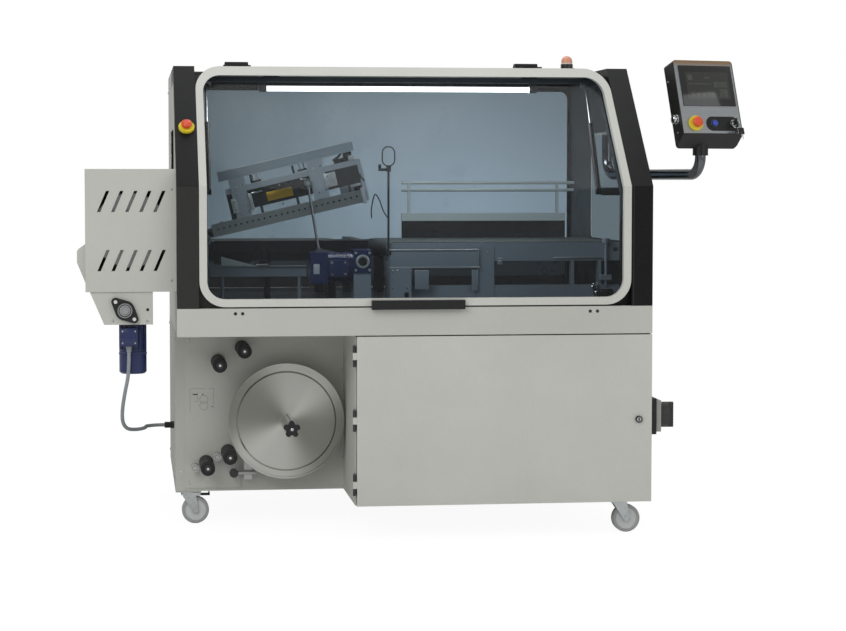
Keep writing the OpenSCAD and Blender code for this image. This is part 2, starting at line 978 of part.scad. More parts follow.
// Cabinet door
module cabinet_door() {
  place() color("#c9cac3") {
    difference() {
      block([cab_x, hx], [0, door_t], [door_z0, door_z1]);
      block([cab_x + door_t, hx - door_t], [door_skin, door_t + cut],
          [door_z0 + door_t, door_z1 - door_t]);
      rod_y(lock_x, [-cut, door_skin + cut], lock_z, lock_stem_r + run_gap);
    }
    for (z = door_rib_zs)
      block([cab_x + door_t, hx - door_t], [door_skin, door_rib_d], [z, z + door_t]);
    for (z = door_hinge_zs) {
      difference() {
        rod_z(door_hinge_x, door_hinge_y, [z - door_hinge_mid, z + door_hinge_mid], door_knuckle_r);
        rod_z(door_hinge_x, door_hinge_y, [z - door_hinge_mid - cut, z + door_hinge_mid + cut],
            door_pin_r + run_gap);
      }
      difference() {
        block([door_hinge_x, cab_x], [door_hinge_y - door_knuckle_r,
            door_hinge_y - door_knuckle_r + door_skin],
            [z - door_hinge_mid, z + door_hinge_mid]);
        rod_z(door_hinge_x, door_hinge_y, [z - door_hinge_mid - cut, z + door_hinge_mid + cut],
            door_pin_r + run_gap);
      }
    }
  }
}

module door_lock() {
  place() color("#b4b6b8") {
    rod_y(lock_x, [-lock_out, -face_gap], lock_z, lock_r);
    rod_y(lock_x, [-lock_out, lock_cam_y + lock_cam_t], lock_z, lock_stem_r);
    block([lock_x - lock_cam_w / 2, lock_x + lock_cam_w / 2], [lock_cam_y, lock_cam_y + lock_cam_t],
        [lock_z - lock_cam_w / 2, lock_z + lock_cam_l]);
  }
}

// Casters
module king_pin(x, y) {
  rod_z(x, y, [king_z, base_z - caster_plate_t], king_r);
  rod_z(x, y, [king_z, king_z + king_head_t], king_head_r);
}

module caster_legs(x, y) {
  for (side = [-1, 1])
    difference() {
      translate([0, y + side * (leg_in + leg_t / 2) - leg_t / 2, 0])
        extrude_y([0, leg_t]) {
          polygon([[x - crown_r, crown_z + crown_t], [x + crown_r, crown_z + crown_t],
              [x + trail + leg_w, wheel_d / 2], [x + trail, wheel_d / 2 - leg_w],
              [x + trail - leg_w, wheel_d / 2]]);
          translate([x + trail, wheel_d / 2])
            circle(leg_w);
        }
      rod_y(x + trail, [y - leg_reach, y + leg_reach], wheel_d / 2, axle_bolt_r);
    }
  rod_y(x + trail, [y - leg_in - leg_t - axle_head_t, y + leg_in + leg_t + axle_head_t], wheel_d / 2,
      axle_bolt_r);
  for (side = [-1, 1])
    translate([0, side * (leg_in + leg_t + axle_head_t / 2) - axle_head_t / 2, 0])
      rod_y(x + trail, [y, y + axle_head_t], wheel_d / 2, axle_head_r);
  difference() {
    block([x - crown_r, x + crown_r], [y - leg_in - leg_t, y + leg_in + leg_t],
        [crown_z, crown_z + crown_t]);
    rod_z(x, y, [crown_z - cut, crown_top + cut], king_r + run_gap);
  }
  difference() {
    rod_z(x, y, [crown_z + crown_t, crown_top], race_r);
    rod_z(x, y, [crown_z - cut, crown_top + cut], king_r + run_gap);
  }
}

module caster_fork_1() {
  place() color("#c7c9ca") {
    caster_legs(caster_xs[0], caster_ys[0]);
    rod_y(caster_xs[0] + pedal_x, [caster_ys[0] - leg_in, caster_ys[0] + leg_in], crown_z + pedal_lift,
        pedal_r);
    for (side = [-1, 1])
      translate([0, caster_ys[0] + side * (leg_in + leg_t / 2) - leg_t / 2, 0]) {
        block([caster_xs[0], caster_xs[0] + pedal_x], [0, leg_t],
            [crown_z + pedal_lift - pedal_ear, crown_z + pedal_lift + pedal_ear]);
        rod_y(caster_xs[0] + pedal_x, [0, leg_t], crown_z + pedal_lift, pedal_ear);
      }
  }
}

module caster_fork_2() {
  place() color("#c7c9ca")
    caster_legs(caster_xs[1], caster_ys[1]);
}

module caster_mounts() {
  place() color("#c7c9ca") {
    for (i = [0:1])
      king_pin(caster_xs[i], caster_ys[i]);
    for (i = [2:3]) {
      caster_legs(caster_xs[i], caster_ys[i]);
      rod_z(caster_xs[i], caster_ys[i], [crown_z, base_z - caster_plate_t], race_r / 2);
    }
  }
}

module caster_wheel(i) {
  place() color("#b9bab9")
    translate([caster_xs[i] + trail, caster_ys[i] + wheel_w / 2, wheel_d / 2])
      rotate([90, 0, 0])
        rotate_extrude()
          polygon([[axle_bolt_r + run_gap, 0], [hub_in_r, 0], [hub_in_r, tread_r],
              [wheel_d / 2 - rim_w, tread_r], [wheel_d / 2 - rim_w, 0], [wheel_d / 2 - tread_r, 0],
              [wheel_d / 2, tread_r], [wheel_d / 2, wheel_w - tread_r],
              [wheel_d / 2 - tread_r, wheel_w], [wheel_d / 2 - rim_w, wheel_w],
              [wheel_d / 2 - rim_w, wheel_w - tread_r], [hub_in_r, wheel_w - tread_r],
              [hub_in_r, wheel_w], [axle_bolt_r + run_gap, wheel_w]]);
}

module caster_wheel_1() { caster_wheel(0); }
module caster_wheel_2() { caster_wheel(1); }
module caster_wheel_3() { caster_wheel(2); }
module caster_wheel_4() { caster_wheel(3); }

module brake_pedal() {
  place() color("#1a1b1c")
    translate([caster_xs[0] + pedal_x, caster_ys[0], crown_z + pedal_lift])
      difference() {
        union() {
          rod_y(0, [-leg_in + run_in, leg_in - run_in], 0, 2 * pedal_r);
          block([0, pedal_l], [-leg_in + run_in, leg_in - run_in], [-pedal_t, 0]);
          block([pedal_l - pedal_t, pedal_l], [-leg_in + run_in, leg_in - run_in], [-pedal_t, pedal_t]);
        }
        rod_y(0, [-leg_in, leg_in], 0, pedal_r + run_gap);
      }
}

// Hood
module hood_outline(w, z0, z1, r) {
  soft_rect([-w, w], [z0, z1], r);
}

module hood_frame() {
  place() color("#d2d3cc") {
    difference() {
      intersection() {
        union() {
          extrude_x([-hood_half, hood_half])
            polygon(band(0, frame_t, hood_z, top_y(frame_t) + frame_t));
          block([-hood_half, hood_half], [top_y(0), hood_d], [roof_z - sheet_t, roof_z]);
          for (side = [-1, 1])
            block([side * top_rail_x - frame_t, side * top_rail_x + frame_t], [top_y(0), hood_d],
                [roof_z - frame_t, roof_z]);
          block([-hood_half, hood_half], [hood_d - frame_t, hood_d], [roof_z - frame_t, roof_z]);
        }
        extrude_y([-cut, hood_d + cut])
          hood_outline(hood_half, hood_z, roof_z, corner_r);
      }
      extrude_y([-cut, top_y(frame_t) + 2 * frame_t])
        hood_outline(hood_half - frame_w, hood_z + frame_w, roof_z - top_rail, inner_r);
    }
    for (x = hinge_xs) {
      rod_x([x - hinge_mid + face_gap, x + hinge_mid - face_gap], hinge_y, hinge_z, hinge_r);
      rod_x([x - hinge_half, x + hinge_half], hinge_y, hinge_z, hinge_pin_r);
      block([x - hinge_mid + face_gap, x + hinge_mid - face_gap], [hood_d - leaf_l, hinge_y],
          [roof_z, roof_z + hinge_leaf_t]);
    }
    for (side = [-1, 1])
      spring_bracket(side);
  }
}

module spring_bracket(side) {
  inner = spring_x - spring_tube_r - spring_ear_t - spring_ear_t;
  translate([side * (inner + spring_ear_t / 2) - spring_ear_t / 2, 0, 0]) {
    block([0, spring_ear_t], [spring_y1 - spring_ear_half, spring_y1 + spring_ear_half],
        [spring_z1, roof_z - sheet_t]);
    rod_x([0, spring_ear_t], spring_y1, spring_z1, spring_ear_half);
  }
}

module hood_window() {
  place() color("#9fb4c2")
    intersection() {
      extrude_x([-hood_half, hood_half])
        polygon(concat([for (i = [0:2]) outer_path(frame_t, hood_z, hood_d)[i]],
            [for (i = [2:-1:0]) outer_path(frame_t + window_t, hood_z, hood_d)[i]]));
      extrude_y([0, hood_d])
        hood_outline(hood_half - frame_w + window_lap, hood_z + frame_w - window_lap,
            roof_z - top_rail + window_lap, inner_r + window_lap);
    }
}

module hood_handle() {
  place() color("#141516") {
    difference() {
      block([-handle_w / 2, handle_w / 2], [-handle_out, -grip_seat], [handle_z, handle_z + handle_h]);
      block([-handle_w / 2 + handle_lip, handle_w / 2 - handle_lip],
          [-handle_out + grip_wall, -grip_wall],
          [handle_z - cut, handle_z + grip_h]);
    }
    block([-handle_w / 2, handle_w / 2], [-grip_seat, 0],
        [hood_z + grip_lift, handle_z + handle_h - grip_seat]);
  }
}

module hood_lamp() {
  place() color("#dfe3e6") {
    block([-lamp_bar_half, lamp_bar_half], [lamp_y - lamp_bar_d / 2, lamp_y + lamp_bar_d / 2],
        [lamp_bar_z, lamp_bar_z + lamp_bar_h]);
    rod_x([lamp_x - lamp_l / 2, lamp_x + lamp_l / 2], lamp_y, lamp_z, lamp_r);
    for (side = [-1, 1]) {
      translate([lamp_x + side * (lamp_l + lamp_cap) / 2, 0, 0]) {
        rod_x([-lamp_cap / 2, lamp_cap / 2], lamp_y, lamp_z, lamp_r + lamp_cap_out);
        block([-lamp_cap / 2, lamp_cap / 2], [lamp_y - lamp_hang, lamp_y + lamp_hang],
            [lamp_z, lamp_bar_z]);
      }
      block([side * lamp_bar_half * 2 / 3 - lamp_cap, side * lamp_bar_half * 2 / 3 + lamp_cap],
          [lamp_y - lamp_hang, lamp_y + lamp_hang], [lamp_bar_z + lamp_bar_h, roof_z - sheet_t]);
    }
  }
}

// Gas springs
module on_spring(side) {
  translate([side * spring_x, spring_y0, spring_z0])
    rotate([spring_a, 0, 0])
      children();
}

module spring_cylinders() {
  place() color("#232426")
    for (side = [-1, 1])
      on_spring(side) {
        difference() {
          union() {
            rod_x([-spring_tube_r, spring_tube_r], 0, 0, spring_eye_r + spring_eye_out);
            rod_y(0, [spring_eye_r - spring_neck, spring_tube_l], 0, spring_tube_r);
          }
          rod_x([-2 * spring_tube_r, 2 * spring_tube_r], 0, 0, spring_pin_r + run_gap);
          rod_y(0, [spring_seat, spring_tube_l + cut], 0, spring_rod_r + run_gap);
        }
      }
}

module spring_rods() {
  place() color("#c9cbcc")
    for (side = [-1, 1])
      on_spring(side) {
        rod_y(0, [spring_seat + spring_eye_out, spring_len], 0, spring_rod_r);
        translate([-side * spring_stud / 2, 0, 0])
          rod_x([-spring_stud_half, spring_stud_half], spring_len, 0, spring_eye_r - spring_neck);
      }
}

// Seal head
module on_head() {
  translate([pivot_x, 0, pivot_z])
    rotate([0, -head_tilt, 0])
      children();
}

module seal_head() {
  place() color("#1b1c1f")
    on_head() {
      rod_y(0, [head_y - pivot_out, head_y + press_d], 0, pivot_boss_r);
      rod_y(0, [head_y - pivot_out - bearing_t, head_y], 0, pivot_r);
      rod_y(0, [head_back, head_back + rear_bar_t], 0, pivot_boss_r);
      rod_y(0, [head_back, head_back + rear_bar_t + bearing_t], 0, pivot_r);
      block([0, press_u0 + stand_w], [head_y + bar_t + bar_flange - arm_t, head_y + bar_t + bar_flange],
          [arm_v, pivot_boss_r]);
      block([press_u0 - stand_w, press_u0 + stand_w],
          [head_y + bar_t + bar_flange - arm_t, head_y + bar_t + bar_flange],
          [arm_v, press_v0 + press_h]);
      difference() {
        block([press_u0, head_u0 + head_l + head_end], [head_y + bar_t, head_y + bar_t + press_d],
            [press_v0, press_v0 + press_h]);
        block([press_u0 + stand_w, head_u0 + head_l + head_end - stand_w],
            [head_y + bar_t + stand_w, head_y + 2 * bar_t + press_d],
            [press_v0 + stand_w, press_v0 + press_h - stand_w]);
      }
      block([press_u0 - stand_w, head_u0 + head_l + head_end], [head_y, head_y + bar_t + press_d],
          [press_v0 + press_h, press_v0 + press_h + cap_h]);
      for (u = stand_us)
        block([u - stand_w / 2, u + stand_w / 2], [head_y + bar_t, head_y + bar_t + bar_flange - arm_t],
            [bar_flange_t, press_v0]);
      for (u = head_plate_us)
        block([u, u + head_plate_w], [head_y - head_plate_t, head_y],
            [head_plate_v0, head_plate_v1 + cut]);
      block([guard_u0, head_u0 + head_l], [head_y - guard_t, head_y], [guard_v, guard_v + guard_h]);
      block([guard_u0, head_u0 + head_l], [head_y - head_plate_t, head_y + guard_d],
          [head_plate_v1, guard_v]);
      block([head_u0 + head_l, head_u0 + head_l + head_end], [head_y, head_y + bar_t + press_d],
          [cross_v0, press_v0 + press_h]);
      block([cross_u, cross_u + cross_w], [head_y + bar_t + press_d, head_back],
          [cross_v0, cross_v0 + cross_h]);
      block([0, cross_u + cross_w], [head_back, head_back + rear_bar_t],
          [-rear_bar_h / 2, rear_bar_h / 2]);
      block([cross_u, cross_u + cross_w], [head_back, head_back + rear_bar_t],
          [-rear_bar_h / 2, cross_v0 + cross_h]);
      rod_y(ring_u, [rod_layer_y - ring_pin_out, head_y + bar_t + cut], ring_v, ring_pin_r);
    }
}

module seal_bar() {
  place() color("#b9bbba")
    on_head()
      difference() {
        union() {
          block([head_u0, head_u0 + head_l], [head_y, head_y + bar_t], [0, bar_h]);
          block([head_u0 + head_plate_w, head_u0 + head_l],
              [head_y, head_y + bar_t + bar_flange - arm_t],
              [0, bar_flange_t]);
        }
        for (i = [0:floor((head_l - hole_pitch) / hole_pitch) - 1])
          rod_y(head_u0 + hole_pitch * (i + 1), [head_y - cut, head_y + bar_t + cut],
              bar_h * hole_v_share, hole_r);
      }
}

module push_rod() {
  place() color("#c3c5c6")
    difference() {
      union() {
        rod_y(rod_top_x, [rod_layer_y + face_gap, rod_layer_y + rod_layer_t], rod_top_z, ring_r);
        rod_y(crank_x, [rod_layer_y + face_gap, rod_layer_y + rod_layer_t], crank_z, ring_r);
        translate([crank_x, rod_layer_y + rod_layer_t / 2, crank_z])
          rotate([0, 90 - atan2(rod_top_z - crank_z, rod_top_x - crank_x), 0])
            cylinder(r = rod_r, h = sqrt(pow(rod_top_x - crank_x, 2) + pow(rod_top_z - crank_z, 2)));
      }
      rod_y(rod_top_x, [rod_layer_y - cut, rod_layer_y + rod_layer_t + cut], rod_top_z,
          ring_pin_r + run_gap);
      rod_y(crank_x, [rod_layer_y - cut, rod_layer_y + rod_layer_t + cut], crank_z,
          crank_pin_r + run_gap);
    }
}

module crank() {
  place() color("#8f9193") {
    translate([gear_x, 0, gear_z])
      rotate([0, -crank_a, 0]) {
        rod_y(0, [gear_y1 - 2 * crank_t, crank_y + crank_t], 0, out_shaft_r);
        rod_y(0, [crank_y, crank_y + crank_t], 0, 2 * crank_pin_r + crank_t);
        block([0, crank_l], [crank_y, crank_y + crank_t],
            [-crank_r + crank_slim, crank_r - crank_slim]);
        rod_y(crank_l, [crank_y, crank_y + crank_t], 0, crank_r);
        rod_y(crank_l, [crank_y, rod_layer_y], 0, crank_pin_r);
      }
  }
}

module lower_jaw() {
  place() color("#2a2b2d") {
    block([jaw_x0, jaw_x1], [head_y, head_y + jaw_d], [jaw_top - jaw_h, jaw_top - jaw_pad_h]);
    block([jaw_x0, jaw_x1], [head_y + bar_t, head_y + jaw_d - bar_t], [jaw_top - jaw_pad_h, jaw_top]);
    block([jaw_x1 - cross_w, jaw_x1], [head_y + jaw_d, head_back - face_gap],
        [jaw_top - jaw_h, jaw_top - jaw_pad_h]);
    block([jaw_x1 - cross_w + bar_t, jaw_x1 - bar_t], [head_y + jaw_d, head_back - face_gap],
        [jaw_top - jaw_pad_h, jaw_top]);
    for (x = jaw_post_xs)
      block([x - jaw_post_w / 2, x + jaw_post_w / 2], [head_y + bar_t, head_y + jaw_d - bar_t],
          [tray_z, jaw_top - jaw_h]);
    block([jaw_x1 - cross_w + bar_t, jaw_x1 - bar_t], [head_back - jaw_d, head_back - bar_t],
        [tray_z, jaw_top - jaw_h]);
    extrude_y([head_y + jaw_d, head_y + jaw_d + bar_t])
      polygon([[jaw_x0, jaw_top - jaw_h], [jaw_x0, jaw_top - 2 * jaw_h],
          [jaw_x0 + 3 * jaw_h, jaw_top - 2.2 * jaw_h],
          [jaw_x0 + 3.6 * jaw_h, jaw_top - jaw_h]]);
  }
}

module gear_motor() {
  place() color("#1b1f3d") {
    difference() {
      union() {
        block([gear_x - gear_w / 2, gear_x + gear_w / 2], [gear_y0, gear_y1 - gear_flange_t],
            [gear_z - gear_h / 2, gear_z + gear_h / 2]);
        rod_y(gear_x, [gear_y1 - gear_flange_t, gear_y1], gear_z, gear_flange_r);
      }
      rod_y(gear_x, [gear_y1 - 2 * crank_t - cut, gear_y1 + cut], gear_z, out_shaft_r + run_gap);
    }
    rod_x([gear_x - gear_w / 2 - motor_l, gear_x - gear_w / 2], motor_y, motor_z, motor_r);
    block([gear_x - gear_w / 2 - motor_l, gear_x - gear_w / 2 - motor_l + motor_box_w],
        [motor_y - motor_box_d, motor_y + motor_box_d], [motor_z - motor_box_d, motor_z + motor_box_d]);
    for (i = [1:motor_ribs])
      rod_x([gear_x - gear_w / 2 - i * 2 * motor_rib_t - motor_rib_t,
          gear_x - gear_w / 2 - i * 2 * motor_rib_t],
          motor_y, motor_z, motor_rib_r);
  }
}

// Inner frame and conveyors
function bed_x0(i) = i == 0 ? infeed_x1 - infeed_l : outfeed_x0;
function bed_x1(i) = i == 0 ? infeed_x1 : outfeed_x0 + outfeed_l;
function drive_x(i) = i == 0 ? bed_x1(0) - end_inset : bed_x0(1) + end_inset;
function nose_x(i) = i == 0 ? bed_x0(0) + end_inset : bed_x1(1) - end_inset;

module bed(i) {
  difference() {
    for (y = [conveyor_y0[i], conveyor_y1 - side_t])
      block([bed_x0(i) + belt_t, bed_x1(i) - belt_t], [y, y + side_t], [side_z - side_h, side_z]);
    rod_y(drive_x(i), [conveyor_y0[i] - cut, conveyor_y1 + cut], roller_z, drive_end_r + run_gap);
  }
  rod_y(nose_x(i), [conveyor_y0[i], conveyor_y1], roller_z, belt_r);
  block([bed_x0(i) + 2.5 * end_inset, bed_x1(i) - 2.5 * end_inset],
      [conveyor_y0[i] + side_t, conveyor_y1 - side_t],
      [belt_z - belt_t - face_gap - bed_t, belt_z - belt_t - face_gap]);
}

module inner_frame() {
  place() color("#8494a2") {
    bed(0);
    bed(1);
    block([frame_x0, infeed_x1], [beam_y, beam_y + beam_d], [beam_z0, beam_z0 + beam_h]);
    for (x = [frame_x0, bracket_x, infeed_x1 - beam_d])
      block([x, x + beam_d], [beam_y, beam_y + beam_d], [tray_z, beam_z0]);
    for (x = front_post_xs)
      block([x, x + front_post_w], [beam_y, beam_y + beam_d], [beam_z0 + beam_h, side_z - side_h]);
    block([frame_x0, frame_x0 + front_post_w], [beam_y, beam_y + beam_d],
        [beam_z0 + beam_h, side_z - side_h]);
    block([bracket_x, bracket_x + bracket_w], [beam_y - bracket_t, beam_y], [beam_z0, bracket_z]);
    block([gusset_x, gusset_x + gusset_w], [gusset_y, gusset_y + bracket_t], [tray_z, gusset_z]);
    block([tray_x0, infeed_x1], [tray_y0, conveyor_y1 + beam_d], [deck_z, tray_z]);
    for (x = [infeed_x1 - 2 * beam_d, infeed_x1 - infeed_l + beam_d])
      block([x - beam_d / 2, x + beam_d / 2], [conveyor_y1 - beam_d, conveyor_y1],
          [tray_z, side_z - side_h]);
    for (x = [outfeed_x0 + beam_d, outfeed_x0 + outfeed_l - 1.5 * beam_d],
        y = [conveyor_y0[1], conveyor_y1 - beam_d])
      block([x - beam_d / 2, x + beam_d / 2], [y, y + beam_d], [tray_z, side_z - side_h]);
    block([rail_x0, rail_x1], [rail_y, rail_y + rail_d], [rail_z, rail_z + rail_h]);
    for (x = [rail_post_x, rail_x1 - 4 * rail_post_r])
      rod_z(x, rail_y + rail_d / 2, [tray_z, rail_z], rail_post_r);
    block([gear_x - gear_w / 2, gear_x + gear_w / 2],
        [gear_y0 + gear_flange_t, gear_y1 - gear_flange_t],
        [tray_z, gear_z - gear_h / 2]);
    bearing_post([head_y - pivot_out - bearing_t, head_y - pivot_out - face_gap]);
    bearing_post([head_back + rear_bar_t + face_gap, head_back + rear_bar_t + bearing_t]);
    rod_z(lever_x, beam_y - lever_foot / 2, [lever_z0, lever_z0 + lever_l], lever_r);
    rod_z(lever_x, beam_y - lever_foot / 2, [lever_z0 + lever_l, lever_z0 + lever_l + lever_knob_t],
        lever_knob_r);
    block([front_post_xs[1], lever_x + lever_foot / 2], [beam_y - lever_foot, beam_y],
        [lever_z0 + beam_d / 2, lever_z0 + beam_d]);
  }
}

module bearing_post(y) {
  difference() {
    union() {
      block([pivot_x - post_half, pivot_x + post_half], y, [tray_z, pivot_z]);
      rod_y(pivot_x, y, pivot_z, pivot_boss_r);
    }
    rod_y(pivot_x, [y[0] - cut, y[1] + cut], pivot_z, pivot_r + run_gap);
  }
}

module belt_loop(i, r) {
  translate([bed_x0(i) + end_inset, roller_z - r])
    square([bed_x1(i) - bed_x0(i) - 2 * end_inset, 2 * r]);
  for (x = [bed_x0(i) + end_inset, bed_x1(i) - end_inset])
    translate([x, roller_z])
      circle(r);
}

module conveyor_belts() {
  place() color("#3a3f42")
    for (i = [0:1])
      difference() {
        extrude_y([conveyor_y0[i] + side_t + belt_edge, conveyor_y1 - side_t - belt_edge])
          belt_loop(i, belt_r + face_gap + belt_t);
        extrude_y([conveyor_y0[i] + side_t, conveyor_y1 - side_t])
          belt_loop(i, belt_r + face_gap);
      }
}

module belt_roller(i) {
  place() color("#b5b7b8") {
    rod_y(drive_x(i), [conveyor_y0[i] + side_t + run_in, conveyor_y1 - side_t - run_in], roller_z,
        belt_r);
    rod_y(drive_x(i), [conveyor_y0[i], conveyor_y1], roller_z, drive_end_r);
  }
}

module infeed_roller() { belt_roller(0); }
module outfeed_roller() { belt_roller(1); }

module product_guides() {
  place() color("#b9bcbd") {
    block([guide_x0, guide_x1], [conveyor_y1, conveyor_y1 + wall_t],
        [belt_z - beam_d, belt_z + wall_h]);
    block([guide_x0, guide_x1], [conveyor_y1, conveyor_y1 + cap_bar_d],
        [belt_z + wall_h, belt_z + wall_h + cap_bar_h]);
    for (z = [rail_bar_z, rail_bar_low])
      rod_x([guide_x0, rail_end_x + rail_flat_w / 2], conveyor_y1 + cap_bar_d / 2, z, rail_bar_r);
    for (x = [guide_x0 + rail_flat_w, guide_x1 - rail_flat_w])
      block([x - rail_bar_r, x + rail_bar_r],
          [conveyor_y1 + cap_bar_d / 2 - bar_t, conveyor_y1 + cap_bar_d / 2 + bar_t],
          [belt_z + wall_h + cap_bar_h, rail_bar_z]);
    rod_z(sensor_x, sensor_y, [belt_z - sensor_head_h, sensor_top], sensor_r);
    block([sensor_x - sensor_head / 2, sensor_x + sensor_head / 2],
        [sensor_y - sensor_head / 2, beam_y],
        [belt_z - 2 * sensor_head_h, belt_z - sensor_head_h]);
    block([sensor_x - sensor_head / 2, sensor_x + sensor_head / 2],
        [sensor_y - sensor_head / 2, sensor_y + sensor_head / 2],
        [sensor_top, sensor_top + sensor_head_h]);
    sensor_loop(sensor_top + sensor_head_h);
  }
}

module sensor_loop(z) {
  for (side = [-1, 1])
    rod_z(sensor_x + side * loop_r, sensor_y, [z + loop_r - loop_wire_r, z + 2 * loop_r], loop_wire_r);
  translate([sensor_x, sensor_y, z + 2 * loop_r])
    rotate([90, 0, 0])
      rotate_extrude(angle = 180)
        translate([loop_r, 0])
          circle(loop_wire_r);
  translate([sensor_x, sensor_y, z + loop_r - loop_wire_r])
    rotate([90, 0, 0])
      rotate([0, 0, 180])
        rotate_extrude(angle = 180)
          translate([loop_r, 0])
            circle(loop_wire_r);
}

// Scrap winder
module winder_slot(x, z) {
  extrude_y([winder_y - cut, winder_y + winder_wall + cut])
    polygon([[x, z], [x + slot_w, z], [x + slot_w + slot_lean, z + slot_h],
        [x + slot_lean, z + slot_h]]);
}

module winder_boss(y) {
  difference() {
    rod_y(reel_x, y, reel_z, reel_boss_r);
    rod_y(reel_x, [y[0] - cut, y[1] + cut], reel_z, reel_shaft_r + run_gap);
  }
}

module winder_housing() {
  place() color("#bfc0b9") {
    difference() {
      block([winder_x0, -hx], [winder_y, winder_y + winder_d], [winder_z0, winder_z1]);
      block([winder_x0 + winder_wall, -hx + cut],
          [winder_y + winder_wall, winder_y + winder_d - winder_wall],
          [winder_z0 + winder_wall, winder_z1 - winder_wall]);
      for (i = [0:slot_count - 1], z = slot_zs)
        winder_slot(slot_x + i * slot_pitch, z);
    }
    winder_boss([winder_y + winder_wall, winder_y + winder_wall + reel_boss_t]);
    winder_boss([winder_y + winder_d - winder_wall - reel_boss_t, winder_y + winder_d - winder_wall]);
    difference() {
      extrude_y([winder_y + low_plate_in, winder_y + low_plate_in + low_plate_t])
        polygon([[low_plate_xs[0], winder_z0], [low_plate_xs[1], winder_z0],
            [low_plate_xs[2], low_plate_z],
            [low_plate_xs[3], low_plate_z]]);
      rod_y(bearing_x, [winder_y, winder_y + 2 * low_plate_in], bearing_z, shaft_r + cut);
    }
    extrude_y(nose_y)
      polygon([[winder_x0, nose_zs[0]], [winder_x0 - winder_nose, nose_zs[1]],
          [winder_x0 - winder_nose, nose_zs[2]], [winder_x0, nose_zs[3]]]);
  }
}

module flange_bearing() {
  far = bearing_pitch / 2;
  touch = acos((bearing_r - bearing_lug_r) / far);
  front = winder_y + low_plate_in - bearing_plate_t;
  place() color("#9c9ea0")
    translate([bearing_x, front, bearing_z])
      rotate([0, -bearing_a, 0])
        difference() {
          union() {
            rod_y(0, [0, bearing_plate_t], 0, bearing_r);
            for (side = [-1, 1])
              rod_y(side * far, [0, bearing_plate_t], 0, bearing_lug_r);
            extrude_y([0, bearing_plate_t])
              polygon([[bearing_r * cos(touch), bearing_r * sin(touch)],
                  [far + bearing_lug_r * cos(touch), bearing_lug_r * sin(touch)],
                  [far + bearing_lug_r * cos(touch), -bearing_lug_r * sin(touch)],
                  [bearing_r * cos(touch), -bearing_r * sin(touch)],
                  [-bearing_r * cos(touch), -bearing_r * sin(touch)],
                  [-far - bearing_lug_r * cos(touch), -bearing_lug_r * sin(touch)],
                  [-far - bearing_lug_r * cos(touch), bearing_lug_r * sin(touch)],
                  [-bearing_r * cos(touch), bearing_r * sin(touch)]]);
            rod_y(0, [bearing_plate_t - bearing_out, bearing_plate_t], 0, bearing_ring_r);
            for (side = [-1, 1])
              rod_y(side * far, [-bolt_t, 0], 0, bearing_bolt_r);
          }
          rod_y(0, [-bearing_out, bearing_plate_t + cut], 0, shaft_r + run_gap);
        }
}

module winder_motor() {
  place() color("#1b1f3d") {
    difference() {
      block([wm_x - wm_gear_w / 2, wm_x + wm_gear_w / 2], [wm_y - wm_gear_d / 2, wm_y + wm_gear_d / 2],
          [low_plate_z, low_plate_z + wm_gear_h]);
      rod_y(bearing_x, [wm_y - wm_gear_d, wm_y + wm_gear_d], bearing_z, shaft_r + run_gap);
    }
    block([wm_x - wm_gear_w / 3, wm_x + wm_gear_w / 3], [winder_y + low_plate_in + low_plate_t, wm_y],
        [bearing_z + shaft_r + face_gap, low_plate_z + wm_gear_h]);
    rod_z(wm_x, wm_y, [wm_top - wm_l, low_plate_z], wm_r);
    for (i = [0:wm_ribs - 1])
      translate([wm_x, wm_y, 0])
        rotate([0, 0, i * 360 / wm_ribs])
          block([0, wm_cover_r], [-wm_rib_t / 2, wm_rib_t / 2], [wm_top - wm_l, wm_top - wm_rib_t]);
    rod_z(wm_x, wm_y, [wm_top - wm_l - wm_cover_l, wm_top - wm_l], wm_cover_r);
    block([cable_route[0][0] - wm_box_w / 2, cable_route[0][0] + wm_box_w / 2],
        [cable_route[0][1] - wm_box_d, wm_y - wm_r / 2],
        [cable_route[0][2], cable_route[0][2] + wm_box_h]);
  }
}

module winder_shaft() {
  place() color("#a9abad") {
    rod_y(bearing_x, [winder_y + low_plate_in - bearing_out - shaft_out, shaft_back], bearing_z,
        shaft_r);
    rod_y(bearing_x, [shaft_back - pulley_t, shaft_back], bearing_z, pulley_r);
  }
}

module winder_reel() {
  place() color("#8d8f90") {
    rod_y(reel_x, [winder_y + winder_wall + face_gap, winder_y + winder_d - winder_wall - face_gap],
        reel_z,
        reel_shaft_r);
    rod_y(reel_x, [winder_y + reel_in, winder_y + winder_d - reel_in], reel_z, reel_core_r);
    for (y = [winder_y + reel_in, winder_y + winder_d - reel_in - reel_plate_t])
      rod_y(reel_x, [y, y + reel_plate_t], reel_z, reel_d / 2);
  }
}

// Cable
module cable_gland() {
  place() color("#2b2c2e") {
    translate([-hx - gland_nut_l, gland_y, gland_z])
      rotate([0, 90, 0])
        cylinder(r = gland_nut_r, h = gland_nut_l, $fn = 6);
    rod_x([-hx - gland_l, -hx - gland_nut_l], gland_y, gland_z, gland_dome_r);
  }
}

function along(p, q, r, s, t) =
  0.5 * (2 * q + (r - p) * t + (2 * p - 5 * q + 4 * r - s) * t * t + (3 * q - p - 3 * r + s) * t * t * t);
function route(i) = cable_route[max(0, min(len(cable_route) - 1, i))];
cable_path = [for (i = [0:len(cable_route) - 2], k = [0:cable_steps - 1])
    along(route(i - 1), route(i), route(i + 1), route(i + 2), k / cable_steps),
    route(len(cable_route) - 1)];
function unit(v) = v / norm(v);
function heading(i) = i == 0 ? [0, 0, -1]
          : i == len(cable_path) - 1 ? [1, 0, 0] : unit(cable_path[i + 1] - cable_path[i - 1]);
function carried(v, t) = unit(v - (v * t) * t);
function side_at(i) = i == 0 ? [1, 0, 0] : carried(side_at(i - 1), heading(i));

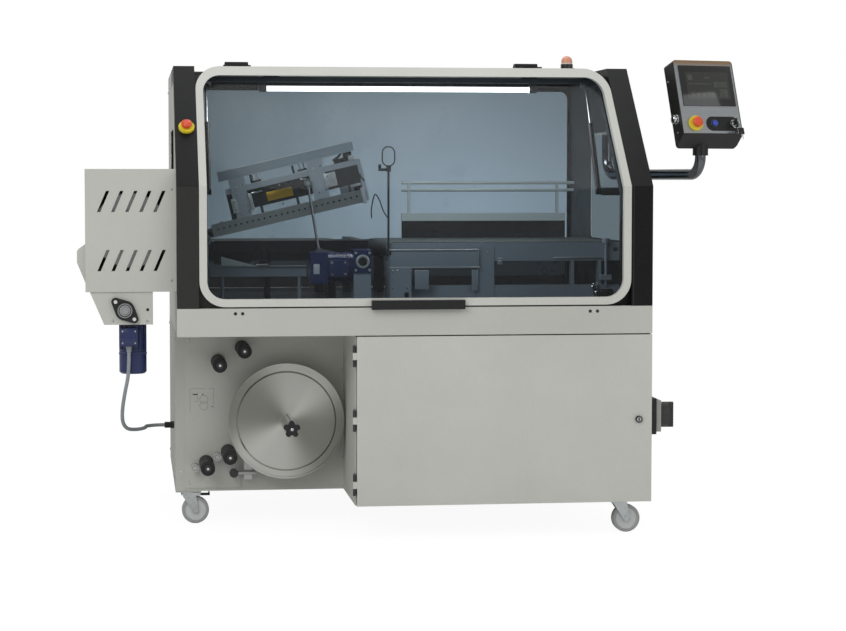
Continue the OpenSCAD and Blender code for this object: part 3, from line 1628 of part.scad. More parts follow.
module motor_cable() {
  n = len(cable_path);
  points = [for (i = [0:n - 1], k = [0:cable_sides - 1])
      cable_path[i] + cable_d / 2 * (cos(k * 360 / cable_sides) * side_at(i)
      + sin(k * 360 / cable_sides) * cross(heading(i), side_at(i)))];
  walls = [for (i = [0:n - 2], k = [0:cable_sides - 1])
      [i * cable_sides + k, (i + 1) * cable_sides + k,
      (i + 1) * cable_sides + (k + 1) % cable_sides, i * cable_sides + (k + 1) % cable_sides]];
  place() color("#8d9094")
    polyhedron(points, concat([[for (k = [0:cable_sides - 1]) k]], walls,
        [[for (k = [cable_sides - 1:-1:0]) (n - 1) * cable_sides + k]]));
}

// Control arm and panel
module elbow() {
  rotate_extrude(angle = 90)
    translate([arm_bend, 0])
      circle(arm_r);
}

module control_arm() {
  place() color("#5a5d60")
    translate([arm_x, arm_y, arm_z])
      rotate([0, 0, arm_a]) {
        rod_z(0, 0, [arm_bend, arm_top - arm_z], arm_r);
        translate([arm_bend, 0, arm_bend])
          rotate([90, 0, 0])
            rotate([0, 0, 180])
              elbow();
        rod_x([arm_bend, arm_run - arm_bend], 0, 0, arm_r);
        translate([arm_run - arm_bend, 0, arm_bend])
          rotate([90, 0, 0])
            rotate([0, 0, 270])
              elbow();
        rod_z(arm_run, 0, [arm_bend, panel_entry - arm_z], arm_r);
      }
}

module on_panel() {
  translate([panel_x, panel_y, panel_z])
    rotate([0, 0, panel_yaw])
      rotate([-panel_tilt, 0, 0])
        translate([panel_u, 0, 0])
          children();
}

module panel_block(y, inset) {
  intersection() {
    extrude_x([-panel_w / 2, panel_w / 2])
      polygon([[panel_front, panel_chin - panel_h / 2 + inset],
          [panel_front + panel_d, inset - panel_h / 2],
          [panel_front + panel_d, panel_h / 2], [panel_front, panel_h / 2]]);
    extrude_y(y)
      soft_rect([-panel_w / 2 + inset, panel_w / 2 - inset],
          [-panel_h / 2 + inset, panel_h / 2 - inset],
          face_in - inset);
    for (side = [-1, 1])
      rod_y(0, y, side * (panel_bow - panel_h / 2), panel_bow - inset);
  }
}

module panel_case() {
  place() color("#a9adb0") {
    difference() {
      union() {
        on_panel()
          difference() {
            panel_block([panel_front, panel_front + panel_d], 0);
            panel_block([panel_front + face_in, panel_front + panel_d - face_t], face_t);
          }
        rod_z(panel_x, panel_y, [panel_neck_z, panel_neck_z + panel_neck_h * 2], panel_neck_r);
        on_panel() {
          rod_y(stop_u, [panel_front - stop_collar_h, panel_front], stop_v, stop_collar_r);
          extrude_y([panel_front - pill_t, panel_front])
            soft_rect(pill_u, [stop_v - pill_h / 2, stop_v + pill_h / 2], pill_h / 2 - cut);
          rod_x([-panel_w / 2 - side_knob_l, -panel_w / 2], panel_shift, side_knob_v, side_knob_r);
        }
      }
      rod_z(panel_x, panel_y, [panel_neck_z - cut, panel_entry + face_gap], arm_r + run_gap);
      on_panel() {
        rod_y(stop_u, [panel_front - stop_collar_h - cut, panel_front + stop_stem_l], stop_v,
            stop_stem_r + run_gap);
        rod_y(blue_u, [panel_front - pill_t - cut, panel_front + blue_stem_l + blue_travel], stop_v,
            blue_r / 2 + run_gap);
        rod_y(key_u, [panel_front - pill_t - cut, panel_front + key_stem_l + cut], stop_v,
            key_r / 2 + run_gap);
      }
    }
  }
}

module stop_form() {
  base = stop_collar_h + stop_travel + face_gap;
  translate([0, 0, base - stop_stem_l])
    cylinder(r = stop_stem_r, h = stop_stem_l + cut);
  translate([0, 0, base])
    rotate_extrude()
      polygon([[0, 0], [stop_cap_r - tread_r, 0], [stop_cap_r, tread_r],
          [stop_cap_r, stop_cap_h - 2 * tread_r],
          [stop_cap_r - tread_r, stop_cap_h - tread_r], [stop_cap_r / 2, stop_cap_h], [0, stop_cap_h]]);
}

module cheek_stop_button() {
  place() color("#d9482c")
    on_slope(cheek_stop_x, cheek_stop_s)
      stop_form();
}

module panel_stop_button() {
  place() color("#d9482c")
    on_panel()
      translate([stop_u, panel_front, stop_v])
        rotate([90, 0, 0])
          stop_form();
}

module blue_button() {
  place() color("#2453b8")
    on_panel() {
      rod_y(blue_u, [panel_front - pill_t - blue_travel - blue_h,
          panel_front - pill_t - blue_travel - face_gap],
          stop_v, blue_r);
      rod_y(blue_u, [panel_front - pill_t - blue_travel - blue_h,
          panel_front + blue_stem_l - blue_travel], stop_v,
          blue_r / 2);
    }
}

module key_switch() {
  place() color("#c4c6c7")
    on_panel() {
      rod_y(key_u, [panel_front - pill_t - key_h, panel_front - pill_t - face_gap], stop_v, key_r);
      rod_y(key_u, [panel_front - pill_t - key_h, panel_front + key_stem_l], stop_v, key_r / 2);
      block([key_u - key_bow_t / 2, key_u + key_bow_t / 2],
          [panel_front - pill_t - key_h - key_bow_h, panel_front - pill_t - key_h],
          [stop_v - key_bow_w / 2, stop_v + key_bow_w / 2]);
    }
}

// Main switch
module switch_base() {
  place() color("#1b1c1d")
    difference() {
      union() {
        block([hx, hx + switch_base_t], [switch_y - switch_base_w / 2, switch_y + switch_base_w / 2],
            [switch_z - switch_base_w / 2, switch_z + switch_base_w / 2]);
        block([hx + switch_base_t, hx + switch_base_t + switch_plate_t],
            [switch_y - switch_plate_w / 2, switch_y + switch_plate_w / 2],
            [switch_z - switch_plate_w / 2, switch_z + switch_plate_w / 2]);
      }
      rod_x([hx - cut, hx + switch_base_t + switch_plate_t + cut], switch_y, switch_z,
          switch_stem_r + run_gap);
    }
}

module switch_knob() {
  face = hx + switch_base_t + switch_plate_t;
  place() color("#3a3b3c") {
    rod_x([face - switch_stem_l, face + face_gap + cut], switch_y, switch_z, switch_stem_r);
    rod_x([face + face_gap, face + switch_knob_t - switch_grip_in], switch_y, switch_z, switch_knob_r);
    intersection() {
      rod_x([face + switch_grip_in, face + switch_knob_t], switch_y, switch_z, switch_knob_r);
      block([face + switch_grip_in, face + switch_knob_t],
          [switch_y - switch_grip_w / 2, switch_y + switch_grip_w / 2],
          [switch_z - switch_knob_r, switch_z + switch_knob_r]);
    }
  }
}

base_pan();
left_side();
right_side();
rear_panel();
rear_window();
roof_panel();
hinge_blocks();
beacon();
bay_panel();
bay_hardware();
deck();
cheeks();
inner_frame();
conveyor_belts();
product_guides();
lower_jaw();
gear_motor();
winder_housing();
flange_bearing();
winder_motor();
motor_cable();
cable_gland();
switch_base();
caster_mounts();
hood_frame();
hood_window();
hood_handle();
hood_lamp();
spring_cylinders();
spring_rods();
cabinet_door();
door_lock();
film_disc();
star_knob();
film_roller_1();
film_roller_2();
film_roller_3();
film_roller_4();
seal_head();
seal_bar();
push_rod();
crank();
infeed_roller();
outfeed_roller();
caster_fork_1();
caster_fork_2();
caster_wheel_1();
caster_wheel_2();
caster_wheel_3();
caster_wheel_4();
brake_pedal();
control_arm();
panel_case();
cheek_stop_button();
panel_stop_button();
blue_button();
key_switch();
switch_knob();
winder_shaft();
winder_reel();
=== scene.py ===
import bpy, bmesh, math
from mathutils import Vector, Matrix


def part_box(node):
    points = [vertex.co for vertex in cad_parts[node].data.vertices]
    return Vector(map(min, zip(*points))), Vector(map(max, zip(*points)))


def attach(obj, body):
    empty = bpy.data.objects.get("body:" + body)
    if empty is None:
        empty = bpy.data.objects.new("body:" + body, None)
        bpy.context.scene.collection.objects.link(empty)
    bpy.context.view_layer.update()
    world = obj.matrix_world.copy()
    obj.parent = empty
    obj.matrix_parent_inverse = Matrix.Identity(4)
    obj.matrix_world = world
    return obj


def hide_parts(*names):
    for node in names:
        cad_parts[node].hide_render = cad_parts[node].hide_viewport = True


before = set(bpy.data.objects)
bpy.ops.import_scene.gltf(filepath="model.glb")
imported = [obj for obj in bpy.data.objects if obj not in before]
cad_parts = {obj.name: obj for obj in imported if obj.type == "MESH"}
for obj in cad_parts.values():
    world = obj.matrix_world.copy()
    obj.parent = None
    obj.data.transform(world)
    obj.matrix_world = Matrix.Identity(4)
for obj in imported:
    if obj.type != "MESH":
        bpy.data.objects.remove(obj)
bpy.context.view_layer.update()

# Places in the machine's own millimetres: X from the body's middle, Y from the apron, Z from the floor
HALF_X = 807.5
BODY_D = 1400
ROOF_Z = 1618
BEND_Z = 1200
HOOD_RUN = 410
BAY_Y = 430
DISC_X, DISC_Z = -420.5, 376
LOCK_X, LOCK_Z = 761.5, 404
HEAD_PIVOT = (-699.5, 0, 1010)
PANEL_PLACE = (1024.5, 200, 1486)
FRONT = (0, -1, 0)

disc_lo, disc_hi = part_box("film_disc")
OX = DISC_X - 500 * (disc_lo[0] + disc_hi[0])
OY = 688.0


def P(x, y, z):
    """Machine millimetres to the row frame in metres."""
    return Vector(((x - OX) / 1000, (y - OY) / 1000, z / 1000))


# ---------- camera ----------
CAM_PLACE = (-958.074, -7164.309, 1217.819)
CAM_DOWN, CAM_RIGHT = 3.17973612, 7.01878778
FOCAL_PX, PHOTO_W, SENSOR = 2150, 846, 36
cam_data = bpy.data.cameras.new("camera")
cam = bpy.data.objects.new("camera", cam_data)
bpy.context.scene.collection.objects.link(cam)
cam.location = P(*CAM_PLACE)
cam.rotation_euler = (math.radians(90 - CAM_DOWN), 0, math.radians(-CAM_RIGHT))
cam_data.sensor_width = SENSOR
cam_data.lens = FOCAL_PX / PHOTO_W * SENSOR
cam_data.shift_x = 0.03232
cam_data.shift_y = -0.01812
cam_data.clip_end = 60
bpy.context.scene.camera = cam


# ---------- node helpers ----------
class Mat:
    """A node material with short calls for the nodes used here."""

    def __init__(self, name):
        self.m = bpy.data.materials.new(name)
        self.m.use_nodes = True
        self.nt = self.m.node_tree
        self.nt.nodes.clear()
        self.out = self.add("ShaderNodeOutputMaterial")
        self.bsdf = self.add("ShaderNodeBsdfPrincipled")
        self.join(self.bsdf.outputs[0], self.out.inputs[0])
        self.co = self.add("ShaderNodeTexCoord").outputs["Object"]

    def add(self, kind, **props):
        n = self.nt.nodes.new(kind)
        for k, v in props.items():
            setattr(n, k, v)
        return n

    def join(self, a, b):
        self.nt.links.new(a, b)

    def put(self, node, key, value):
        s = node.inputs[key]
        if isinstance(value, bpy.types.NodeSocket):
            self.join(value, s)
        elif isinstance(value, (tuple, list)) and len(s.default_value) == 4 and len(value) == 3:
            s.default_value = (*value, 1)
        else:
            s.default_value = value

    def set(self, **kw):
        for k, v in kw.items():
            self.put(self.bsdf, k.replace("_", " "), v)
        return self

    def math(self, op, a, b=0.0, c=0.0, clamp=False):
        n = self.add("ShaderNodeMath", operation=op, use_clamp=clamp)
        self.put(n, 0, a)
        self.put(n, 1, b)
        self.put(n, 2, c)
        return n.outputs[0]

    def noise(self, scale, detail=3.0, rough=0.5, stretch=None, co=None):
        v = co or self.co
        if stretch:
            mp = self.add("ShaderNodeMapping")
            self.join(v, mp.inputs[0])
            mp.inputs["Scale"].default_value = stretch
            v = mp.outputs[0]
        n = self.add("ShaderNodeTexNoise")
        self.join(v, n.inputs["Vector"])
        n.inputs["Scale"].default_value = scale
        n.inputs["Detail"].default_value = detail
        n.inputs["Roughness"].default_value = rough
        return n.outputs["Fac"]

    def remap(self, fac, a, b, lo, hi, smooth=False):
        n = self.add("ShaderNodeMapRange", clamp=True)
        if smooth:
            n.interpolation_type = "SMOOTHSTEP"
        self.put(n, 0, fac)
        for i, v in enumerate((a, b, lo, hi)):
            n.inputs[i + 1].default_value = v
        return n.outputs[0]

    def mix(self, fac, a, b, blend="MIX"):
        n = self.add("ShaderNodeMix", data_type="RGBA", blend_type=blend)
        self.put(n, 0, fac)
        self.put(n, 6, a)
        self.put(n, 7, b)
        return n.outputs[2]

    def edge(self, radius):
        n = self.add("ShaderNodeBevel", samples=4)
        n.inputs["Radius"].default_value = radius
        return n.outputs[0]

    def bump(self, height, strength=0.2, distance=0.001, normal=None):
        n = self.add("ShaderNodeBump")
        n.inputs["Strength"].default_value = strength
        n.inputs["Distance"].default_value = distance
        self.join(height, n.inputs["Height"])
        if normal is not None:
            self.join(normal, n.inputs["Normal"])
        return n.outputs[0]

    def local(self, loc, rot=(0, 0, 0)):
        mp = self.add("ShaderNodeMapping", vector_type="TEXTURE")
        self.join(self.co, mp.inputs[0])
        mp.inputs["Location"].default_value = loc
        mp.inputs["Rotation"].default_value = rot
        return mp.outputs[0]

    def xyz(self, co=None):
        n = self.add("ShaderNodeSeparateXYZ")
        self.join(co or self.co, n.inputs[0])
        return n.outputs

    def inside(self, lo, hi, co=None):
        """1 inside a box; None leaves a side open."""
        s = self.xyz(co)
        out = None
        for i in range(3):
            for limit, op in ((lo[i], "GREATER_THAN"), (hi[i], "LESS_THAN")):
                if limit is not None:
                    f = self.math(op, s[i], limit)
                    out = f if out is None else self.math("MULTIPLY", out, f)
        return out


def lin(h):
    """#rrggbb as seen to linear."""
    h = h.lstrip("#")
    c = [int(h[i:i + 2], 16) / 255 for i in (0, 2, 4)]
    return tuple(x / 12.92 if x <= 0.04045 else ((x + 0.055) / 1.055) ** 2.4 for x in c)


def scaled(c, k):
    return tuple(min(1, x * k) for x in c)


def paint(name, color, rough=0.42, fine=900, strength=0.1, spread=0.05, metallic=0.0, coat=0.0, spec=0.4,
          color_by=None, rough_by=None, edge=0.0012, dust=0.06):
    """Powder or spray paint: fine peel, faint large clouding, dust in the roughness."""
    m = Mat(name)
    base = color_by(m) if color_by else None
    cloud = m.remap(m.noise(2.2, 4, 0.6), 0.3, 0.7, 0, 1)
    speck = m.remap(m.noise(140, 2, 0.6), 0.35, 0.65, 0, 1)
    if base is None:
        base = m.mix(cloud, scaled(color, 1 - spread), scaled(color, 1 + spread))
    else:
        dim = m.mix(cloud, (1 - spread,) * 3, (1.0,) * 3)
        base = m.mix(1.0, base, dim, "MULTIPLY")
    base = m.mix(m.math("MULTIPLY", speck, dust), base, (0.35, 0.35, 0.34))
    r = m.remap(m.noise(9, 5, 0.65), 0.3, 0.7, rough * 0.86, min(1, rough * 1.16))
    m.set(Base_Color=base, Roughness=rough_by(m) if rough_by else r, Metallic=metallic)
    m.bsdf.inputs["Specular IOR Level"].default_value = spec
    m.bsdf.inputs["Coat Weight"].default_value = coat
    m.join(m.bump(m.noise(fine, 2, 0.5), strength, 0.0006, m.edge(edge)), m.bsdf.inputs["Normal"])
    return m


def metal(name, color, rough=0.3, stretch=(1, 1, 1), scale=300, strength=0.12, spread=0.12, color_by=None,
          metallic=1.0):
    """Brushed or ground metal with lines along the axis whose stretch is smallest."""
    m = Mat(name)
    lines = m.noise(scale, 5, 0.65, stretch)
    cloud = m.remap(m.noise(6, 4, 0.6), 0.3, 0.7, 0, 1)
    base = color_by(m) if color_by else m.mix(cloud, scaled(color, 1 - spread), scaled(color, 1 + spread / 2))
    base = m.mix(m.remap(lines, 0.35, 0.65, 0, 0.22), base, scaled(color, 0.72))
    m.set(Base_Color=base, Metallic=metallic, Roughness=m.remap(lines, 0.3, 0.7, rough * 0.75, rough * 1.3))
    m.join(m.bump(lines, strength, 0.0004, m.edge(0.0008)), m.bsdf.inputs["Normal"])
    return m


def plastic(name, color, rough=0.4, fine=420, strength=0.15, spread=0.1, color_by=None, coat=0.0, spec=0.45):
    """Moulded plastic or rubber with a cell grain."""
    m = Mat(name)
    cloud = m.remap(m.noise(14, 4, 0.6), 0.3, 0.7, 0, 1)
    base = color_by(m) if color_by else m.mix(cloud, scaled(color, 1 - spread), scaled(color, 1 + spread))
    m.set(Base_Color=base,
          Roughness=m.remap(m.noise(35, 4, 0.6), 0.3, 0.7, rough * 0.85, min(1, rough * 1.2)))
    m.bsdf.inputs["Specular IOR Level"].default_value = spec
    m.bsdf.inputs["Coat Weight"].default_value = coat
    cells = m.add("ShaderNodeTexVoronoi")
    m.join(m.co, cells.inputs["Vector"])
    cells.inputs["Scale"].default_value = fine
    m.join(m.bump(cells.outputs["Distance"], strength, 0.0004), m.bsdf.inputs["Normal"])
    return m


def clear(name, tint, gloss, haze, haze_color):
    """A clear sheet: see-through with a slight tint, fresnel gloss on its outer faces, a breath of haze."""
    m = Mat(name)
    see = m.add("ShaderNodeBsdfTransparent")
    see.inputs[0].default_value = (*tint, 1)
    shine = m.add("ShaderNodeBsdfGlossy")
    m.put(shine, "Roughness", m.remap(m.noise(7, 4, 0.6), 0.3, 0.7, 0.015, 0.05))
    fres = m.add("ShaderNodeFresnel")
    fres.inputs["IOR"].default_value = 1.42
    geo = m.add("ShaderNodeNewGeometry")
    outer = m.math("SUBTRACT", 1.0, geo.outputs["Backfacing"])
    f = m.math("MULTIPLY", m.math("MULTIPLY", fres.outputs[0], gloss), outer, clamp=True)
    one = m.add("ShaderNodeMixShader")
    m.join(f, one.inputs[0])
    m.join(see.outputs[0], one.inputs[1])
    m.join(shine.outputs[0], one.inputs[2])
    dust = m.add("ShaderNodeBsdfDiffuse")
    dust.inputs[0].default_value = (*haze_color, 1)
    two = m.add("ShaderNodeMixShader")
    m.join(m.math("MULTIPLY", outer, m.remap(m.noise(3, 3, 0.6), 0.3, 0.7, haze * 0.7, haze)), two.inputs[0])
    m.join(one.outputs[0], two.inputs[1])
    m.join(dust.outputs[0], two.inputs[2])
    m.join(two.outputs[0], m.out.inputs[0])
    return m


# ---------- mesh helpers ----------
def frame_of(axis):
    a = Vector(axis).normalized()
    return a.to_track_quat("Z", "Y").to_matrix().to_4x4()


def lathe(bm, origin, axis, profile, seg=32, size=0.001):
    """profile of (radius, height) in millimetres, turned about the axis at origin."""
    M = Matrix.Translation(Vector(origin)) @ frame_of(axis)
    rings = []
    for r, h in profile:
        if r < 1e-6:
            rings.append([bm.verts.new(M @ Vector((0, 0, h * size)))])
        else:
            rings.append([bm.verts.new(M @ Vector((r * size * math.cos(2 * math.pi * k / seg),
                                                   r * size * math.sin(2 * math.pi * k / seg), h * size)))
                          for k in range(seg)])
    for a, b in zip(rings, rings[1:]):
        for k in range(seg):
            j = (k + 1) % seg
            if len(a) == 1 and len(b) == 1:
                continue
            if len(a) == 1:
                bm.faces.new((a[0], b[j], b[k]))
            elif len(b) == 1:
                bm.faces.new((a[k], a[j], b[0]))
            else:
                bm.faces.new((a[k], a[j], b[j], b[k]))


def bevel_box(bm, lo, hi, M=None, b=0.6, size=0.001):
    """A box with all edges chamfered by b, corners in millimetres."""
    M = M or Matrix.Identity(4)
    lo, hi = Vector(lo), Vector(hi)
    b = min(b, *(0.45 * abs(hi[i] - lo[i]) for i in range(3)))
    geom = bmesh.ops.create_cube(bm, size=1)["verts"]
    for v in geom:
        v.co = Vector((lo[i] + (v.co[i] + 0.5) * (hi[i] - lo[i]) for i in range(3)))
    edges = {e for v in geom for e in v.link_edges}
    made = bmesh.ops.bevel(bm, geom=list(edges), offset=b, segments=2, affect="EDGES", profile=0.5)
    verts = {v for f in made["faces"] for v in f.verts} | {v for v in geom if v.is_valid}
    for v in verts:
        v.co = M @ (v.co * size)


def sweep(bm, pts, radii, seg):
    """A closed round tube of changing radius along points in metres, with a carried frame."""
    last = len(pts) - 1
    heads = [(pts[min(last, i + 1)] - pts[max(0, i - 1)]).normalized() for i in range(last + 1)]
    side = heads[0].orthogonal().normalized()
    rings = []
    for p, t, r in zip(pts, heads, radii):
        side = (side - t * side.dot(t)).normalized()
        up = t.cross(side)
        rings.append([bm.verts.new(p + r * (math.cos(2 * math.pi * k / seg) * side
                                            + math.sin(2 * math.pi * k / seg) * up)) for k in range(seg)])
    for a, b in zip(rings, rings[1:]):
        for k in range(seg):
            j = (k + 1) % seg
            bm.faces.new((a[k], a[j], b[j], b[k]))
    bm.faces.new(list(reversed(rings[0])))
    bm.faces.new(rings[-1])


def tube(bm, points, r, seg=12):
    sweep(bm, [Vector(p) for p in points], [r] * len(points), seg)


def smooth_path(points, steps=6):
    """Catmull-Rom through the points."""
    pts = [Vector(p) for p in points]
    out = []
    for i in range(len(pts) - 1):
        p, q = pts[max(0, i - 1)], pts[i]
        r, s = pts[i + 1], pts[min(len(pts) - 1, i + 2)]
        for k in range(steps):
            t = k / steps
            out.append(0.5 * (2 * q + (r - p) * t + (2 * p - 5 * q + 4 * r - s) * t * t
                              + (3 * q - p - 3 * r + s) * t ** 3))
    out.append(pts[-1])
    return out


def screw(bm, origin, axis, r, h=None):
    """A socket screw's head with a chamfer and a recess."""
    h = h or r * 0.6
    head = [(0, h * 0.35), (r * 0.5, h * 0.35), (r * 0.5, h), (r * 0.82, h), (r, h * 0.7), (r, 0)]
    lathe(bm, origin, axis, head, seg=18)


def piece(name, bm, body, mat, smooth=True):
    bmesh.ops.recalc_face_normals(bm, faces=bm.faces)
    me = bpy.data.meshes.new(name)
    bm.to_mesh(me)
    bm.free()
    ob = bpy.data.objects.new(name, me)
    bpy.context.scene.collection.objects.link(ob)
    me.materials.append(mat.m)
    if smooth:
        for p in me.polygons:
            p.use_smooth = True
        md = ob.modifiers.new("split", "EDGE_SPLIT")
        md.split_angle = math.radians(32)
    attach(ob, body)
    return ob


def dress(node, mat):
    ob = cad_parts[node]
    if not ob.material_slots:
        ob.data.materials.append(mat.m)
    for s in ob.material_slots:
        s.material = mat.m


# ---------- colours and materials ----------
GREY = lin("#c4c5bd")
BLACK = lin("#121213")


def region(m, x=(None, None), y=(None, None), z=(None, None)):
    """1 inside a box given in machine millimetres; None leaves a side open."""
    lo, hi = [], []
    for (a, b), off in ((x, OX), (y, OY), (z, 0)):
        lo.append(None if a is None else (a - off) / 1000)
        hi.append(None if b is None else (b - off) / 1000)
    return m.inside(lo, hi)


def local_region(m, co, u=(None, None), d=(None, None), v=(None, None)):
    """The same in a piece's own axes, also in millimetres."""
    lo = [None if a is None else a / 1000 for a in (u[0], d[0], v[0])]
    hi = [None if a is None else a / 1000 for a in (u[1], d[1], v[1])]
    return m.inside(lo, hi, co)


def away(m, a, b, axes=(0, 2), co=None):
    """Distance in metres from an axis, at a and b along the two other axes."""
    s = m.xyz(co)
    da = m.math("SUBTRACT", s[axes[0]], a)
    db = m.math("SUBTRACT", s[axes[1]], b)
    return m.math("SQRT", m.math("ADD", m.math("MULTIPLY", da, da), m.math("MULTIPLY", db, db)))


def band(m, dist, inner, outer):
    """1 where a distance lies between two radii in millimetres."""
    past = m.math("GREATER_THAN", dist, inner / 1000)
    return m.math("MULTIPLY", past, m.math("LESS_THAN", dist, outer / 1000))


def layers(m, base, *pairs):
    """Colours laid over a base one after the other, each with its mask."""
    for mask, colour in pairs:
        base = m.mix(mask, base, lin(colour))
    return base


def both(m, a, b):
    return m.math("MULTIPLY", a, b)


INSIDE = "#17181a"

panel_grey = paint("panel_grey", GREY, 0.48, strength=0.16)
door_grey = paint("door_grey", lin("#c8c9c1"), 0.46, strength=0.16)
frame_light = paint("frame_light", lin("#cfcfc8"), 0.32, strength=0.05, coat=0.15)
# Below 690 mm the left side's outer face is darker grey: painted shade; the inner faces above the deck are
# black.
side_paint = paint("side_paint", GREY, 0.5, color_by=lambda m: layers(
    m, GREY, (region(m, x=(None, -807.4), z=(None, 690)), "#a9a9a1"),
    (region(m, x=(-805.5, 805.5), z=(794, None)), INSIDE)))
rear_paint = paint("rear_paint", GREY, 0.5, color_by=lambda m: layers(
    m, GREY, (region(m, y=(None, 1398.6), z=(794, None)), INSIDE)))
roof_paint = paint("roof_paint", GREY, 0.45, color_by=lambda m: layers(
    m, GREY, (region(m, z=(None, 1616.4)), INSIDE)))
deck_paint = paint("deck_paint", GREY, 0.45, color_by=lambda m: layers(
    m, GREY, (region(m, y=(60, None), z=(791.5, None)), "#2c2f31")))


def cheek_color(m):
    """Black, with a painted reflection as dark grey on the left cheek's bottom part below the bend, a thin
    seam at the right and the stop button's yellow collar on the left slope.
    """
    s = m.xyz()
    # Painted reflection: the left cheek below the bend is dark grey instead of black.
    left_cheek_painted_reflection = both(m, m.math("LESS_THAN", s[2], 1.199), region(m, x=(None, 0)))
    c = layers(m, lin("#0e0e0f"), (left_cheek_painted_reflection, "#31312f"),
               (region(m, x=(740.4, 742), z=(None, 1199)), "#3c3c3a"))
    a = math.atan2(ROOF_Z - BEND_Z, HOOD_RUN)
    up_slope = 0.275
    centre = Vector((P(-768.5, 0, 0).x, -OY / 1000 + up_slope * math.cos(a), 1.2 + up_slope * math.sin(a)))
    d = m.add("ShaderNodeVectorMath", operation="DISTANCE")
    m.join(m.co, d.inputs[0])
    d.inputs[1].default_value = centre
    lift = m.math("SUBTRACT", m.math("MULTIPLY", m.math("SUBTRACT", s[2], 1.2), math.cos(a)),
                  m.math("MULTIPLY", m.math("ADD", s[1], OY / 1000), math.sin(a)))
    near = both(m, m.math("LESS_THAN", d.outputs["Value"], 0.0295), m.math("GREATER_THAN", lift, 0.0004))
    return m.mix(near, c, lin("#e8d43a"))


cheek_paint = paint("cheek_paint", BLACK, 0.36, strength=0.02, color_by=cheek_color, spec=0.22, dust=0.008)
black_satin = paint("black_satin", BLACK, 0.4, strength=0.05, spec=0.3, dust=0.01)
# The pale strip on the front rail's top edge (x -690 to -340, z 915.6 to 917.5) is a painted highlight.
inner_blue = paint("inner_blue", lin("#8b99a3"), 0.34, strength=0.05, color_by=lambda m: layers(
    m, lin("#8794a0"), (region(m, y=(460, None)), "#2a2e33"), (region(m, z=(None, 797)), "#20242a"),
    (region(m, x=(-690, -340), z=(915.6, 917.5)), "#d5dde2")))
black_plastic = plastic("black_plastic", lin("#141516"), 0.42)
black_rubber = plastic("black_rubber", lin("#1b1c1d"), 0.6, fine=700)
belt_mat = plastic("belt_mat", lin("#39403f"), 0.6, fine=900, strength=0.2, color_by=lambda m: layers(
    m, lin("#39403f"), (region(m, z=(None, 996)), "#5d6a73"),
    (region(m, y=(450, None), z=(None, 996)), "#23272b")))
steel = metal("steel", lin("#b4b6b6"), 0.28, (40, 3, 40))
alu = metal("alu", lin("#b9bcbb"), 0.34, (2, 60, 60))
galv = metal("galv", lin("#c6ccce"), 0.4, (1.2, 1.2, 1.2), scale=60, strength=0.05, metallic=0.7)
zinc = metal("zinc", lin("#c9cccd"), 0.24, (1, 1, 1), scale=80, strength=0.05)
chrome = metal("chrome", lin("#dcdedf"), 0.09, (1, 1, 1), scale=50, strength=0.02)
arm_metal = metal("arm_metal", lin("#6d7074"), 0.16, (1, 1, 1), scale=40, strength=0.02)
brass = metal("brass", lin("#b8962f"), 0.35, (1, 1, 1), scale=70, strength=0.04, metallic=0.75)
navy = paint("navy", lin("#1c2858"), 0.3, strength=0.06, coat=0.3, dust=0.02)
stop_red = plastic("stop_red", lin("#e5532d"), 0.35, coat=0.2)
blue_key = plastic("blue_key", lin("#2f49b4"), 0.3, coat=0.3)
grey_knob = plastic("grey_knob", lin("#353635"), 0.4)
label_grey = plastic("label_grey", lin("#b9c0c8"), 0.4)
conduit = plastic("conduit", lin("#8e9296"), 0.45, fine=260)

SHARED = {
    side_paint: "left_side right_side", rear_paint: "rear_panel", roof_paint: "roof_panel",
    panel_grey: "bay_panel base_pan winder_housing", deck_paint: "deck", door_grey: "cabinet_door",
    frame_light: "hood_frame", cheek_paint: "cheeks", inner_blue: "inner_frame", belt_mat: "conveyor_belts",
    black_plastic: "hinge_blocks hood_handle cable_gland brake_pedal star_knob",
    black_rubber: "film_roller_1 film_roller_2 film_roller_3 film_roller_4",
    steel: "push_rod crank infeed_roller outfeed_roller winder_shaft spring_rods",
    zinc: "caster_mounts caster_fork_1 caster_fork_2 key_switch",
    black_satin: "lower_jaw spring_cylinders", navy: "gear_motor winder_motor", alu: "seal_bar winder_reel",
    arm_metal: "control_arm", stop_red: "cheek_stop_button panel_stop_button", blue_key: "blue_button",
    conduit: "motor_cable", grey_knob: "switch_knob",
}
for mat, names in SHARED.items():
    for n in names.split():
        dress(n, mat)

dress("product_guides", paint("guide_paint", GREY, 0.35, color_by=lambda m: layers(
    m, lin("#8f9c9f"), (region(m, z=(None, 1064.5)), "#0f1012"), (region(m, y=(None, 480)), "#2b2d30"))))
dress("beacon", plastic("beacon_mix", BLACK, 0.3, coat=0.4, color_by=lambda m: layers(
    m, lin("#141414"), (region(m, z=(1656.3, None)), "#eaa184"), (region(m, z=(1656.3, 1661)), "#e9dcd2"))))

# Hood lamp with a glowing tube between dark caps
lamp_mat = plastic("lamp_mat", GREY, 0.4, color_by=lambda m: layers(
    m, lin("#e8eaec"), (region(m, z=(1553.5, None)), "#3b4147"),
    (region(m, x=(None, -479), z=(None, 1560)), "#23282d"),
    (region(m, x=(461, None), z=(None, 1560)), "#23282d")))
lamp_mat.put(lamp_mat.bsdf, "Emission Color", (1.0, 1.0, 0.98))
lamp_mat.join(lamp_mat.math("MULTIPLY", region(lamp_mat, x=(-479, 461), z=(1530, 1553.4)), 3.0),
              lamp_mat.bsdf.inputs["Emission Strength"])
dress("hood_lamp", lamp_mat)

# Wheels: light centre and a darker tyre
for i, (x, y) in enumerate(((-736.5, 480), (742.5, 110), (-736.5, 1290), (742.5, 1290))):
    c = P(x, y, 48)
    dress("caster_wheel_%d" % (i + 1), plastic("wheel_mix_%d" % (i + 1), GREY, 0.5, color_by=lambda m: m.mix(
        m.math("GREATER_THAN", away(m, c.x, c.z), 0.0365), lin("#d3d5d5"), lin("#a7a9a8"))))


